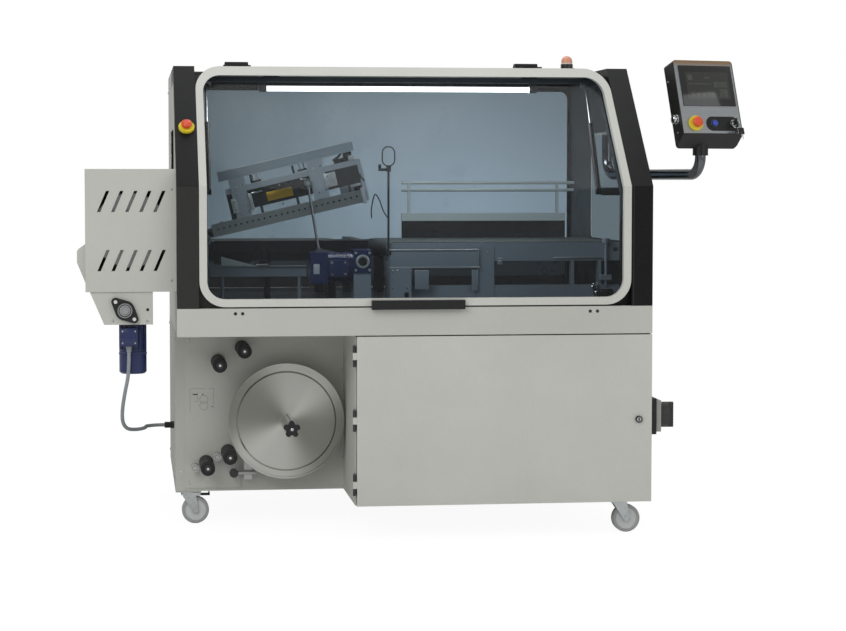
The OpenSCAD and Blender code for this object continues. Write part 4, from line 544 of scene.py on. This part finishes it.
def disc_material():
    """Turned aluminium with a painted radial sheen in its colour, and the bright hub tube with its slot."""
    m = Mat("disc_alu")
    c = P(DISC_X, 0, DISC_Z)
    r = away(m, c.x, c.z)
    ring = m.add("ShaderNodeCombineXYZ")
    m.join(m.math("MULTIPLY", r, 1400), ring.inputs[0])
    lines = m.noise(1.0, 4, 0.7, co=ring.outputs[0])
    s = m.xyz()
    # Painted sheen: the colour runs from dark to light around the hub, a bright band standing in for
    # reflected light.
    turn = m.math("ARCTAN2", m.math("SUBTRACT", s[2], c.z), m.math("SUBTRACT", s[0], c.x))
    sheen = m.math("COSINE", m.math("MULTIPLY", m.math("SUBTRACT", turn, 1.15), 2.0))
    base = m.mix(m.remap(sheen, -1, 1, 0, 1, True), lin("#8f8f87"), lin("#cfcfc9"))
    base = m.mix(m.remap(lines, 0.3, 0.7, 0, 0.25), base, lin("#83847f"))
    hub = both(m, m.math("LESS_THAN", r, 0.0246), m.math("LESS_THAN", s[1], (338 - OY) / 1000))
    slot = both(m, hub, region(m, x=(-422.5, -418), z=(385, None)))
    base = layers(m, base, (hub, "#d2d2cf"), (slot, "#2a2a28"))
    m.set(Base_Color=base, Metallic=0.85, Roughness=m.remap(lines, 0.3, 0.7, 0.3, 0.42))
    m.bsdf.inputs["Anisotropic"].default_value = 0.75
    t = m.add("ShaderNodeTangent", direction_type="RADIAL", axis="Y")
    m.join(t.outputs[0], m.bsdf.inputs["Tangent"])
    m.join(m.bump(lines, 0.08, 0.0003), m.bsdf.inputs["Normal"])
    return m


dress("film_disc", disc_material())

# Bay hardware: black hinge leaves and roller caps with a bright pin, steel bosses, a black knob
ROLLERS = [(-656.5, 582), (-571.5, 630), (-699.5, 225), (-622.5, 262)]
BOSSES = [(-739.5, 208), (-661.5, 246)]


def bay_color(m):
    front = region(m, y=(None, 236))
    knob = both(m, m.math("LESS_THAN", away(m, P(-603.5, 0, 0).x, 0.1883), 0.0156), region(m, y=(None, 396)))
    pairs = [(region(m, x=(-260, None)), "#1a1b1c"), (both(m, front, region(m, x=(None, -500))), "#151617"),
             (knob, "#151617")]
    for x, z in ROLLERS:
        pairs.append((both(m, front, band(m, away(m, P(x, 0, 0).x, z / 1000), -1, 4.2)), "#e6e6e4"))
    for x, z in BOSSES:
        pairs.append((band(m, away(m, P(x, 0, 0).x, z / 1000), 7.5, 9.5), "#6f706e"))
    return layers(m, lin("#c3c4c1"), *pairs)


dress("bay_hardware", metal("bay_steel", lin("#c3c4c1"), 0.32, (20, 3, 20), color_by=bay_color,
                            metallic=0.55))

# Flanged bearing: black housing, steel insert ring and bolts
bearing_c = P(-979.5, 0, 785)


def bearing_color(m):
    r = away(m, bearing_c.x, bearing_c.z)
    return layers(m, lin("#161718"), (band(m, r, 21, 24.5), "#8d8f90"), (band(m, r, -1, 17.5), "#b9bbbb"),
                  (band(m, r, 13.2, 14.6), "#2b2c2d"),
                  (both(m, m.math("GREATER_THAN", r, 0.032), region(m, y=(None, 53.9))), "#d9dad8"))


dress("flange_bearing", plastic("bearing_mix", BLACK, 0.32, color_by=bearing_color, coat=0.2))

# Seal head: local places u along the bar and v square to it
TILT = math.radians(13.2)
HEAD = Matrix.Translation(P(*HEAD_PIVOT)) @ Matrix.Rotation(-TILT, 4, "Y")


def head_color(m):
    co = m.local(tuple(P(*HEAD_PIVOT)), (0, -TILT, 0))
    R = lambda **k: local_region(m, co, **k)
    return layers(m, lin("#1b1c1f"), (R(d=(432.5, None), v=(135.2, 156)), "#7d726a"),
                  (R(u=(90, None), d=(432.5, 462), v=(5, 69.8)), "#3a4046"),
                  (R(u=(90, None), d=(None, 432.1)), "#a7b3bc"), (R(v=(185.7, None)), "#96a4ae"),
                  (R(d=(None, 430.2), v=(219.5, None)), "#dfe6ea"))


dress("seal_head", paint("head_mix", BLACK, 0.33, color_by=head_color, strength=0.05))
dress("door_lock", metal(
    "lock_zinc", lin("#c9cccd"), 0.24, (1, 1, 1), scale=80, strength=0.05, color_by=lambda m: layers(
        m, lin("#c9cccd"), (band(m, away(m, P(LOCK_X, 0, 0).x, LOCK_Z / 1000), 7.5, 40), "#1c1c1b"))))
dress("switch_base", plastic("switch_mix", GREY, 0.45, color_by=lambda m: layers(
    m, lin("#1b1c1c"), (region(m, x=(833.6, None)), "#a2a3a0"))))

# Control panel: black shell, brushed face with a painted brownish reflection at its top, yellow collar, black
# pill
YAW, LEAN = math.radians(15), math.radians(-18)
PANEL = (Matrix.Translation(P(*PANEL_PLACE)) @ Matrix.Rotation(YAW, 4, "Z")
         @ Matrix.Rotation(LEAN, 4, "X") @ Matrix.Translation((0.016, 0, 0)))
PANEL_LOCAL = (tuple(PANEL.translation), (LEAN, 0, YAW))


def panel_material():
    m = Mat("panel_shell")
    co = m.local(*PANEL_LOCAL)
    R = lambda **k: local_region(m, co, **k)
    face = R(u=(-116, 116), d=(None, -25.7), v=(-117, None))
    collar = both(m, R(d=(None, -26.2)), band(m, away(m, -0.066, -0.082, co=co), -1, 27.6))
    pill = both(m, R(u=(-25, 110), d=(None, -26.2), v=(-112, -50)), m.math("SUBTRACT", 1.0, collar))
    knob = R(u=(None, -119.4), v=(-75, -35))
    lines = m.noise(260, 4, 0.6, (0.02, 1, 1), co)
    # Painted reflection: the steel face turns brownish towards its top.
    painted_brown_reflection = m.remap(m.xyz(co)[2], 0.125, 0.15, 0, 1, True)
    steel_c = m.mix(painted_brown_reflection, m.mix(lines, lin("#8b8f92"), lin("#a6a9aa")), lin("#9a7d5c"))
    c = m.mix(face, lin("#151614"), steel_c)
    c = layers(m, c, (collar, "#e6d23c"), (pill, "#0d0d0e"), (knob, "#c9cbcb"))
    metal_part = m.math("MULTIPLY", m.math("MAXIMUM", both(m, face, m.math("SUBTRACT", 1.0, m.math(
        "MAXIMUM", collar, pill))), knob), 0.85)
    m.set(Base_Color=c, Metallic=metal_part, Roughness=m.remap(m.noise(30, 4, 0.6), 0.3, 0.7, 0.3, 0.42))
    m.bsdf.inputs["Specular IOR Level"].default_value = 0.4
    m.join(m.bump(m.noise(700, 2, 0.5), 0.08, 0.0004, m.edge(0.0016)), m.bsdf.inputs["Normal"])
    return m


dress("panel_case", panel_material())


def screen_material():
    """Dark glass with a faint lit page of plain blocks."""
    m = Mat("screen_glass")
    co = m.local(*PANEL_LOCAL)
    R = lambda **k: local_region(m, co, **k)
    page = R(u=(-78, 92), v=(8, 108))
    blocks = [R(u=(-70, -52), v=(78, 98)), R(u=(-70, 20), v=(62, 66)), R(u=(-5, 18), v=(84, 90)),
              R(u=(30, 84), v=(52, 72)), R(u=(50, 82), v=(14, 46)), R(u=(-66, -50), v=(16, 32)),
              R(u=(-44, -28), v=(16, 32)), R(u=(-22, -6), v=(16, 32)), R(u=(2, 36), v=(16, 32))]
    any_block = blocks[0]
    for b in blocks[1:]:
        any_block = m.math("MAXIMUM", any_block, b)
    soft = m.remap(m.noise(60, 3, 0.6), 0.3, 0.7, 0.4, 1)
    c = m.mix(page, lin("#0c0d0c"), lin("#222420"))
    c = m.mix(both(m, any_block, soft), c, lin("#3a3d37"))
    m.set(Base_Color=c, Roughness=0.12)
    m.put(m.bsdf, "Emission Color", c)
    m.bsdf.inputs["Emission Strength"].default_value = 0.35
    m.bsdf.inputs["Coat Weight"].default_value = 0.5
    return m


# Window sheets
dress("hood_window", clear("hood_sheet", (0.90, 0.92, 0.93), 0.55, 0.02, (0.45, 0.52, 0.56)))


def rear_sheet_painted_light():
    """The rear sheet with painted light: pale blue with a painted gradient, brighter to the right and a
    little darker to the top, painted reflection streaks, painted shade below the belts, and a faint glow of
    its own colour.
    """
    m = Mat("rear_sheet_painted_light")
    s = m.xyz()
    # Painted light: the sheet is brighter to the right and a little darker towards the top.
    painted_light_across = m.remap(s[0], -0.75, 0.5, 0, 1, True)
    up = m.remap(s[2], 1.0, 1.55, 0, 1, True)
    c = m.mix(painted_light_across, lin("#74858f"), lin("#a6bac9"))
    c = m.mix(m.math("MULTIPLY", up, 0.2), c, lin("#5f6f7a"))
    # Painted reflection: pale streaks of reflected light.
    c = m.mix(m.remap(m.noise(2.0, 3, 0.6, (3, 1, 0.6)), 0.35, 0.7, 0, 0.12), c, lin("#c7d6e0"))
    # Painted shade: dark below the belts.
    c = m.mix(m.math("LESS_THAN", s[2], 0.985), c, lin("#2b3137"))
    m.set(Base_Color=c, Roughness=m.remap(m.noise(8, 4, 0.6), 0.3, 0.7, 0.25, 0.4))
    # The sheet glows faintly in its own colour though it is no lamp: painted light.
    m.put(m.bsdf, "Emission Color", c)
    m.bsdf.inputs["Emission Strength"].default_value = 0.35
    m.join(m.bump(m.noise(40, 3, 0.5), 0.04, 0.001), m.bsdf.inputs["Normal"])
    return m


dress("rear_window", rear_sheet_painted_light())

# ---------- the motor's cable ----------
ROUTE = [(-967, 82, 665), (-967, 82, 640), (-968, 84, 600), (-972, 88, 555), (-981, 96, 508),
         (-989, 112, 458), (-991, 144, 415), (-985, 190, 386), (-972, 255, 366), (-953, 335, 354),
         (-932, 415, 346), (-916, 490, 341), (-910, 545, 338), (-909, 582, 336),
         (-904, 605, 335), (-892, 624, 334), (-875, 636, 334), (-854, 640, 334), (-841.5, 640, 334)]
cable_line = smooth_path([P(*p) for p in ROUTE], 10)


def ribbed_tube(bm, pts, r, depth, pitch, seg=16):
    """A corrugated conduit: rings swell and shrink along the line, plain at both ends."""
    fine = []
    for a, b in zip(pts, pts[1:]):
        n = max(1, int((b - a).length / (pitch / 6)))
        fine += [a.lerp(b, k / n) for k in range(n)]
    fine.append(pts[-1])
    total = sum((b - a).length for a, b in zip(fine, fine[1:]))
    radii, run = [], 0.0
    for i, p in enumerate(fine):
        if i:
            run += (p - fine[i - 1]).length
        flat = min(1.0, run / 0.02, (total - run) / 0.02)
        radii.append(r - depth * flat * (0.5 - 0.5 * math.cos(2 * math.pi * run / pitch)))
    sweep(bm, fine, radii, seg)


bm = bmesh.new()
ribbed_tube(bm, cable_line, 0.0065, 0.0006, 0.0042)
cable = piece("motor_conduit", bm, "machine", conduit)
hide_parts("motor_cable")

# ---------- detail pieces ----------
ORIGIN = Matrix.Translation(P(0, 0, 0))


def make(name, body, slot, mat, *steps):
    """One piece out of steps such as (bevel_box, lo, hi, matrix, bevel)."""
    bm = bmesh.new()
    for fn, *args in steps:
        fn(bm, *args)
    return piece(name, bm, body, mat)


def boxes(M, *rows, b=0.6):
    """Chamfered boxes, each from its three ranges in millimetres."""
    return [(bevel_box, (x[0], y[0], z[0]), (x[1], y[1], z[1]), M, b) for x, y, z in rows]


def screws(M, axis, r, *places):
    """Screw heads that face along an axis, at places in millimetres."""
    a = M.to_3x3() @ Vector(axis)
    return [(screw, tuple(M @ (Vector(p) / 1000)), tuple(a), r) for p in places]


def turned(M, axis, profile, *places):
    """The same turned profile at each place."""
    a = M.to_3x3() @ Vector(axis)
    return [(lathe, tuple(M @ (Vector(p) / 1000)), tuple(a), profile) for p in places]


# Apron plugs, the lock's slot, the star knob's screw, and screws in the body's sheets
make("apron_plugs", "machine", "black_plastic", black_plastic,
     *turned(ORIGIN, FRONT, [(5.5, 0), (5.5, 0.8), (4.2, 1.6), (0, 1.6)],
             *[(x, 0, 775) for x in (-614, -590, 591, 616)]))
make("lock_slot", "lock", "black_plastic", black_plastic,
     *boxes(ORIGIN, ((LOCK_X - 2, LOCK_X + 2), (-8.6, -7.9), (LOCK_Z - 6, LOCK_Z + 6)), b=0.2))
knob_front = 1000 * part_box("star_knob")[0][1] + OY
make("star_knob_screw", "disc_knob", "steel", chrome,
     *turned(ORIGIN, FRONT, [(5, 0), (5, 1.5), (3.5, 2.4), (0, 2.4)], (DISC_X, knob_front, DISC_Z)))
side_rows = [(y, z) for z in (160, 660, 1560) for y in (500, 900, 1340)]
for name, way in (("left_screws", -1), ("right_screws", 1)):
    make(name, "machine", "steel", zinc,
         *screws(ORIGIN, (way, 0, 0), 5, *[(way * HALF_X, y, z) for y, z in side_rows]))
make("rear_screws", "machine", "steel", zinc, *screws(
    ORIGIN, (0, 1, 0), 5, *[(x, BODY_D, z) for x in (-780, -260, 260, 780) for z in (150, 740, 1590)]))
make("bay_screws", "machine", "steel", zinc, *screws(
    ORIGIN, FRONT, 4, *[(x, BAY_Y, z) for x, z in ((-215, 548), (-215, 233), (-760, 655), (-760, 150))]))
make("post_screw", "machine", "steel", zinc, *screws(ORIGIN, FRONT, 4, (-797, 0, 249)))

# A plain line drawing of a film path on the bay wall, with no words
strokes = (((-755, -700), (484.4, 485)), ((-755, -754.4), (400, 485)), ((-671.6, -671), (416, 485)),
           ((-690, -671), (484.4, 485)), ((-745, -728), (438, 438.6)), ((-729, -728.4), (438, 474)),
           ((-745, -729), (462, 466)), ((-679, -675), (418, 422)), ((-712, -708), (462, 466)))
drawing = boxes(ORIGIN, *[(x, (BAY_Y - 0.4, BAY_Y), z) for x, z in strokes], b=0.1)
drawing += turned(ORIGIN, FRONT, [(15, 0), (15, 0.4), (14.2, 0.4), (14.2, 0)],
                  *[(-706, BAY_Y, z) for z in (446, 424)])
make("film_path_lines", "machine", "black_plastic", grey_knob, *drawing)

# Scrap winder: screws, plug, the motor's box and fan cowl, and the conduit's nut
make("winder_screws", "machine", "steel", zinc, *screws(
    ORIGIN, FRONT, 4, (-823, 60, 1189), (-825, 60, 885), (-1020, 66, 750), (-906, 66, 749)))
make("winder_plug", "machine", "black_plastic", black_plastic,
     *turned(ORIGIN, FRONT, [(5, 0), (5, 1), (0, 1.4)], (-904, 66, 787)))
make("winder_motor_details", "machine", "motor_paint", navy,
     *boxes(ORIGIN, ((-995, -939), (54, 58.5), (668, 722)), ((-1001, -907), (99, 103), (636, 642)), b=1.4),
     *turned(ORIGIN, (0, 0, -1), [(46, 0), (46, 3), (40, 9), (12, 11), (0, 11)], (-954, 148, 576.5)))
make("winder_box_screws", "machine", "steel", zinc, *screws(
    ORIGIN, FRONT, 3, (-988, 54, 715), (-946, 54, 715), (-988, 54, 676), (-946, 54, 676)))
make("conduit_nut", "machine", "conduit", conduit,
     *turned(ORIGIN, (0, 0, -1), [(10, 0), (10, 8), (8.4, 10), (8.4, 18), (6.7, 20)], (-967, 82, 664)))

# Control panel
make("panel_screen", "panel", "black_plastic", screen_material(),
     *boxes(PANEL, ((-101, 108), (-29, -26.1), (-17, 132)), b=1.4))
make("panel_side_knob", "panel", "steel", chrome,
     *turned(PANEL, (-1, 0, 0), [(18, 0), (18, 1.4), (15, 2), (16, 4), (16, 10), (14.6, 14.5), (9, 16),
                                 (0, 16.6)], (-119, 6, -56)))
rivet = [(3.4, 0), (3, 1.4), (0, 2)]
make("panel_rivets", "panel", "steel", zinc,
     *turned(PANEL, (-1, 0, 0), rivet, (-119, 24, 88), (-119, 10, -104)),
     *turned(PANEL, (1, 0, 0), rivet, (119, 24, 88), (119, 10, -104)),
     *screws(PANEL, (0, 1, 0), 4, *[(u, 38, v) for u in (-100, 100) for v in (-100, 110)]))
make("start_ring", "panel", "black_plastic", grey_knob,
     *turned(PANEL, FRONT, [(15, 0), (15, 1.6), (13.4, 3), (11, 3), (11, 0)], (9, -28, -82)))
make("key_ring", "key", "steel", chrome,
     (tube, [tuple(PANEL @ (Vector((82 + 15 * math.sin(a), -50, -92 - 15 * math.cos(a) + 2)) / 1000))
             for a in [math.pi * 2 * k / 24 for k in range(24)]], 0.0012, 8))
make("key_head", "key", "black_plastic", black_plastic,
     *boxes(PANEL, ((79, 85), (-60, -37.5), (-93, -71)), ((88, 110), (-52, -47), (-128, -104)),
            ((72, 84), (-53, -49), (-124, -106)), b=2.2))
make("key_blade", "key", "steel", chrome, *boxes(PANEL, ((96, 103), (-51, -48.6), (-146, -126)), b=0.5))

# Main switch: screws of its plate
make("switch_screws", "machine", "steel", zinc, *screws(
    ORIGIN, (1, 0, 0), 4, *[(851.5, y, z) for y in (54, 146) for z in (362, 454)]))

# Seal head fittings
make("head_side_plates", "head", "alu", galv,
     *boxes(HEAD, ((120, 140), (423, 427), (66, 118)), ((184, 196), (420, 427), (64, 124)),
            ((459, 501), (420, 427), (80, 130)), ((64, 78), (424, 436), (46, 50)), b=0.8))
make("head_brass_plate", "head", "panel_metal", brass,
     *boxes(HEAD, ((248, 341), (434.4, 436), (81, 113)), b=0.4))
make("head_screws", "head", "steel", zinc, *screws(HEAD, FRONT, 3.2, *[(u, d, v) for d, uv in (
    (427, ((148, 152), (172, 158), (148, 128), (172, 92), (150, 58), (176, 64))),
    (423, ((130, 76), (130, 108))),
    (427, ((430, 156), (456, 160), (432, 70), (458, 74))),
    (420, ((470, 88), (490, 110), (470, 120))),
    (436, ((300, 128),)),
    (432, ((298, 60),))) for u, v in uv]))
make("head_clamps", "head", "black_plastic", black_satin,
     *boxes(HEAD, ((204, 212), (436, 448), (156, 190)), ((356, 364), (436, 448), (156, 184)),
            ((206, 242), (434, 446), (156, 163)), ((374, 408), (434, 446), (158, 165)),
            ((508, 560), (436, 462), (155, 170)), ((544, 574), (430, 458), (168, 186)), b=1.5))
make("head_pins", "head", "steel", chrome,
     *turned(HEAD, (0, 0, 1), [(2.6, 0), (2.6, 22), (4, 22), (4, 27), (0, 27)],
             (216, 440, 156), (232, 440, 156), (384, 440, 158), (400, 440, 158)),
     *turned(HEAD, FRONT, [(13.5, 0), (13.5, 3), (9, 3), (9, 0)], (398, 408.5, 112)),
     *boxes(HEAD, ((196, 236), (428, 432), (120, 125)), ((376, 396), (420, 430), (126, 133)), b=1.2))
make("head_end_block", "head", "lamp_white", label_grey,
     *boxes(HEAD, ((576, 588), (420, 431.5), (-6, 52)), ((560, 582), (424, 450), (156, 172)), b=1.5))


def lead(M, r, seg, *places):
    """A short fixed lead through places in millimetres."""
    return tube, smooth_path([M @ (Vector(p) / 1000) for p in places], 6), r, seg


make("head_cables", "head", "black_rubber", black_rubber,
     lead(HEAD, 0.0045, 10, (505, 440, 168), (528, 436, 178), (548, 434, 198), (566, 440, 190),
          (572, 448, 170), (580, 452, 150)),
     lead(HEAD, 0.003, 8, (588, 440, 60), (596, 434, 74), (586, 430, 92), (596, 440, 110)))

# Drive: bare plate and terminal box on the motor, ring and four screws on the gearbox
make("motor_plate", "machine", "panel_metal", label_grey,
     *boxes(ORIGIN, ((-332, -311), (244.6, 246), (895, 930)), b=0.3))
make("motor_terminal", "machine", "motor_paint", navy,
     *boxes(ORIGIN, ((-278, -212), (240, 262), (884, 944)), ((-283, -208), (246, 260), (944, 952)), b=3))
make("gear_face", "machine", "steel", galv,
     *turned(ORIGIN, FRONT, [(24, 0), (24, 4), (21, 6), (19, 6), (19, 2), (0, 2)], (-161, 245, 938)),
     *screws(ORIGIN, FRONT, 4.5, *[(-161 + 24 * a, 245, 938 + 30 * b) for a in (-1, 1) for b in (-1, 1)]))
make("gear_hub", "machine", "black_plastic", black_satin,
     *turned(ORIGIN, FRONT, [(15, 0), (15, 5), (9, 7), (0, 7)], (-161, 243, 938)))
make("motor_screws", "machine", "steel", zinc, *screws(
    ORIGIN, FRONT, 3.5, (-268, 240, 934), (-222, 240, 934), (-268, 240, 894), (-222, 240, 894)))

# Rails and plates at the left, in front of the outfeed
make("left_fence", "machine", "alu", galv,
     *boxes(ORIGIN, ((-680, -345), (384, 398), (917, 919.5)),
            ((-522, -482), (372, 384), (922, 925)), b=0.5))
bm = bmesh.new()
tri = [bm.verts.new(P(x, y, z)) for y in (380, 384) for x, z in ((-645, 952), (-644, 921), (-524, 920))]
for f in ((0, 1, 2), (5, 4, 3), (0, 3, 4, 1), (1, 4, 5, 2), (2, 5, 3, 0)):
    bm.faces.new([tri[i] for i in f])
piece("left_wedge", bm, "machine", galv, smooth=False)
make("left_foot", "machine", "black_paint", black_satin,
     *boxes(ORIGIN, ((-514, -479), (376, 390), (919.6, 941)), ((-500, -486), (378, 388), (941, 990)), b=2))

# Plates and brackets at the right, under the infeed
make("right_cover", "machine", "inner_paint", inner_blue,
     *boxes(ORIGIN, ((-50, 270), (382, 386), (912, 973)), ((36, 86), (352, 386), (834, 902)),
            ((244, 268), (384, 388), (826, 902)), ((336, 354), (380, 386), (920, 944)), b=2))
make("right_cover_edges", "machine", "alu", galv,
     *boxes(ORIGIN, ((-52, 270), (374, 386), (971, 975)), ((-52, 272), (374, 386), (909, 913)),
            ((540, 728), (392, 400), (941, 945)), b=0.6))
make("right_screws_small", "machine", "steel", zinc, *screws(
    ORIGIN, FRONT, 4, (-45, 340, 900), (-28, 340, 901), (18, 340, 900), (-45, 340, 840), (8, 340, 840),
    (345, 380, 932), (300, 396, 960)))
make("lever_clamp", "machine", "steel", chrome,
     *turned(ORIGIN, FRONT, [(7, 0), (7, 10), (4, 12), (0, 12)], (684, 392, 838), (697, 392, 818)),
     *turned(ORIGIN, (0, 0, 1), [(4, 0), (4, 44), (2, 46), (0, 46)], (686, 386, 806), (699, 386, 806)))
make("lever_block", "machine", "black_plastic", black_plastic,
     *boxes(ORIGIN, ((706, 757), (378, 404), (804, 830)), b=4))
make("foot_block", "machine", "black_plastic", black_plastic,
     *boxes(ORIGIN, ((-6, 16), (340, 366), (797, 828)), b=3))

# The sensor's plug and short fixed lead, the beacon's leads, and plates on the hinges
make("sensor_plug", "machine", "black_plastic", black_plastic,
     *boxes(ORIGIN, ((-90, -56), (380, 392), (1252, 1262)), ((-90, -80), (380, 392), (1258, 1276)), b=2))
make("sensor_lead", "machine", "black_rubber", black_rubber,
     lead(ORIGIN, 0.0022, 8, (-113, 392, 1085), (-114, 392, 1120), (-102, 392, 1169), (-86, 392, 1150),
          (-72, 390, 1112), (-56, 388, 1086)))
make("beacon_lead", "machine", "black_rubber", black_rubber,
     lead(ORIGIN, 0.0022, 8, (600, 840, 1619.8), (622, 836, 1619.8), (640, 838, 1620.5), (656, 840, 1621.5)),
     lead(ORIGIN, 0.0022, 8, (697, 840, 1640), (708, 838, 1639), (716, 836, 1632), (719, 836, 1619.5)))
make("hinge_plates", "machine", "black_plastic", black_satin,
     *boxes(ORIGIN, *[((x - 36, x + 36), (822.6, 825), (1626, 1646)) for x in (-567, 519)], b=1))

# ---------- floor and light ----------
scene = bpy.context.scene
scene.view_settings.view_transform = "Standard"
bm = bmesh.new()
bmesh.ops.create_grid(bm, x_segments=2, y_segments=2, size=14)
me = bpy.data.meshes.new("floor")
bm.to_mesh(me)
bm.free()
floor = bpy.data.objects.new("floor", me)
scene.collection.objects.link(floor)
fm = Mat("floor_white")
path = fm.add("ShaderNodeLightPath")
fm.set(Base_Color=(0.9, 0.9, 0.9), Roughness=0.9)
fm.bsdf.inputs["Specular IOR Level"].default_value = 0.0
glow = fm.add("ShaderNodeEmission")
glow.inputs[0].default_value = (1, 1, 1, 1)
glow.inputs[1].default_value = 1.1
mixf = fm.add("ShaderNodeMixShader")
fm.join(fm.math("MULTIPLY", path.outputs["Is Camera Ray"], 0.85), mixf.inputs[0])
fm.join(fm.bsdf.outputs[0], mixf.inputs[1])
fm.join(glow.outputs[0], mixf.inputs[2])
fm.join(mixf.outputs[0], fm.out.inputs[0])
me.materials.append(fm.m)

world = bpy.data.worlds.new("world")
scene.world = world
world.use_nodes = True
wn = world.node_tree
bg = wn.nodes["Background"]
lp = wn.nodes.new("ShaderNodeLightPath")
mr = wn.nodes.new("ShaderNodeMapRange")
mr.inputs[3].default_value = 0.5
mr.inputs[4].default_value = 1.0
wn.links.new(lp.outputs["Is Camera Ray"], mr.inputs[0])
wn.links.new(mr.outputs[0], bg.inputs["Strength"])
through = wn.nodes.new("ShaderNodeMath")
through.operation = "GREATER_THAN"
wn.links.new(lp.outputs["Transparent Depth"], through.inputs[0])
through.inputs[1].default_value = 0.5
tint = wn.nodes.new("ShaderNodeMixRGB")
tint.inputs[1].default_value = (1, 1, 1, 1)
tint.inputs[2].default_value = (*lin("#67747a")[:3], 1)
wn.links.new(through.outputs[0], tint.inputs[0])
wn.links.new(tint.outputs[0], bg.inputs[0])


def area(name, loc, aim, size, power, color=(1, 1, 1), size_y=None):
    ld = bpy.data.lights.new(name, "AREA")
    ld.energy = power
    ld.color = color
    ld.shape = "RECTANGLE"
    ld.size = size
    ld.size_y = size_y or size
    o = bpy.data.objects.new(name, ld)
    o.location = loc
    o.rotation_euler = (Vector(aim) - Vector(loc)).to_track_quat("-Z", "Y").to_euler()
    scene.collection.objects.link(o)
    return o


area("key", (-2.6, -4.2, 3.4), (0, 0, 0.9), 2.6, 75)
area("fill", (3.4, -3.6, 2.2), (0, 0, 0.9), 2.4, 28)
area("top", (0.3, 0.6, 4.2), (0, 0, 0.9), 3.0, 45)
area("inside", tuple(P(0, 520, 1545)), tuple(P(0, 620, 900)), 1.2, 7, size_y=0.2)
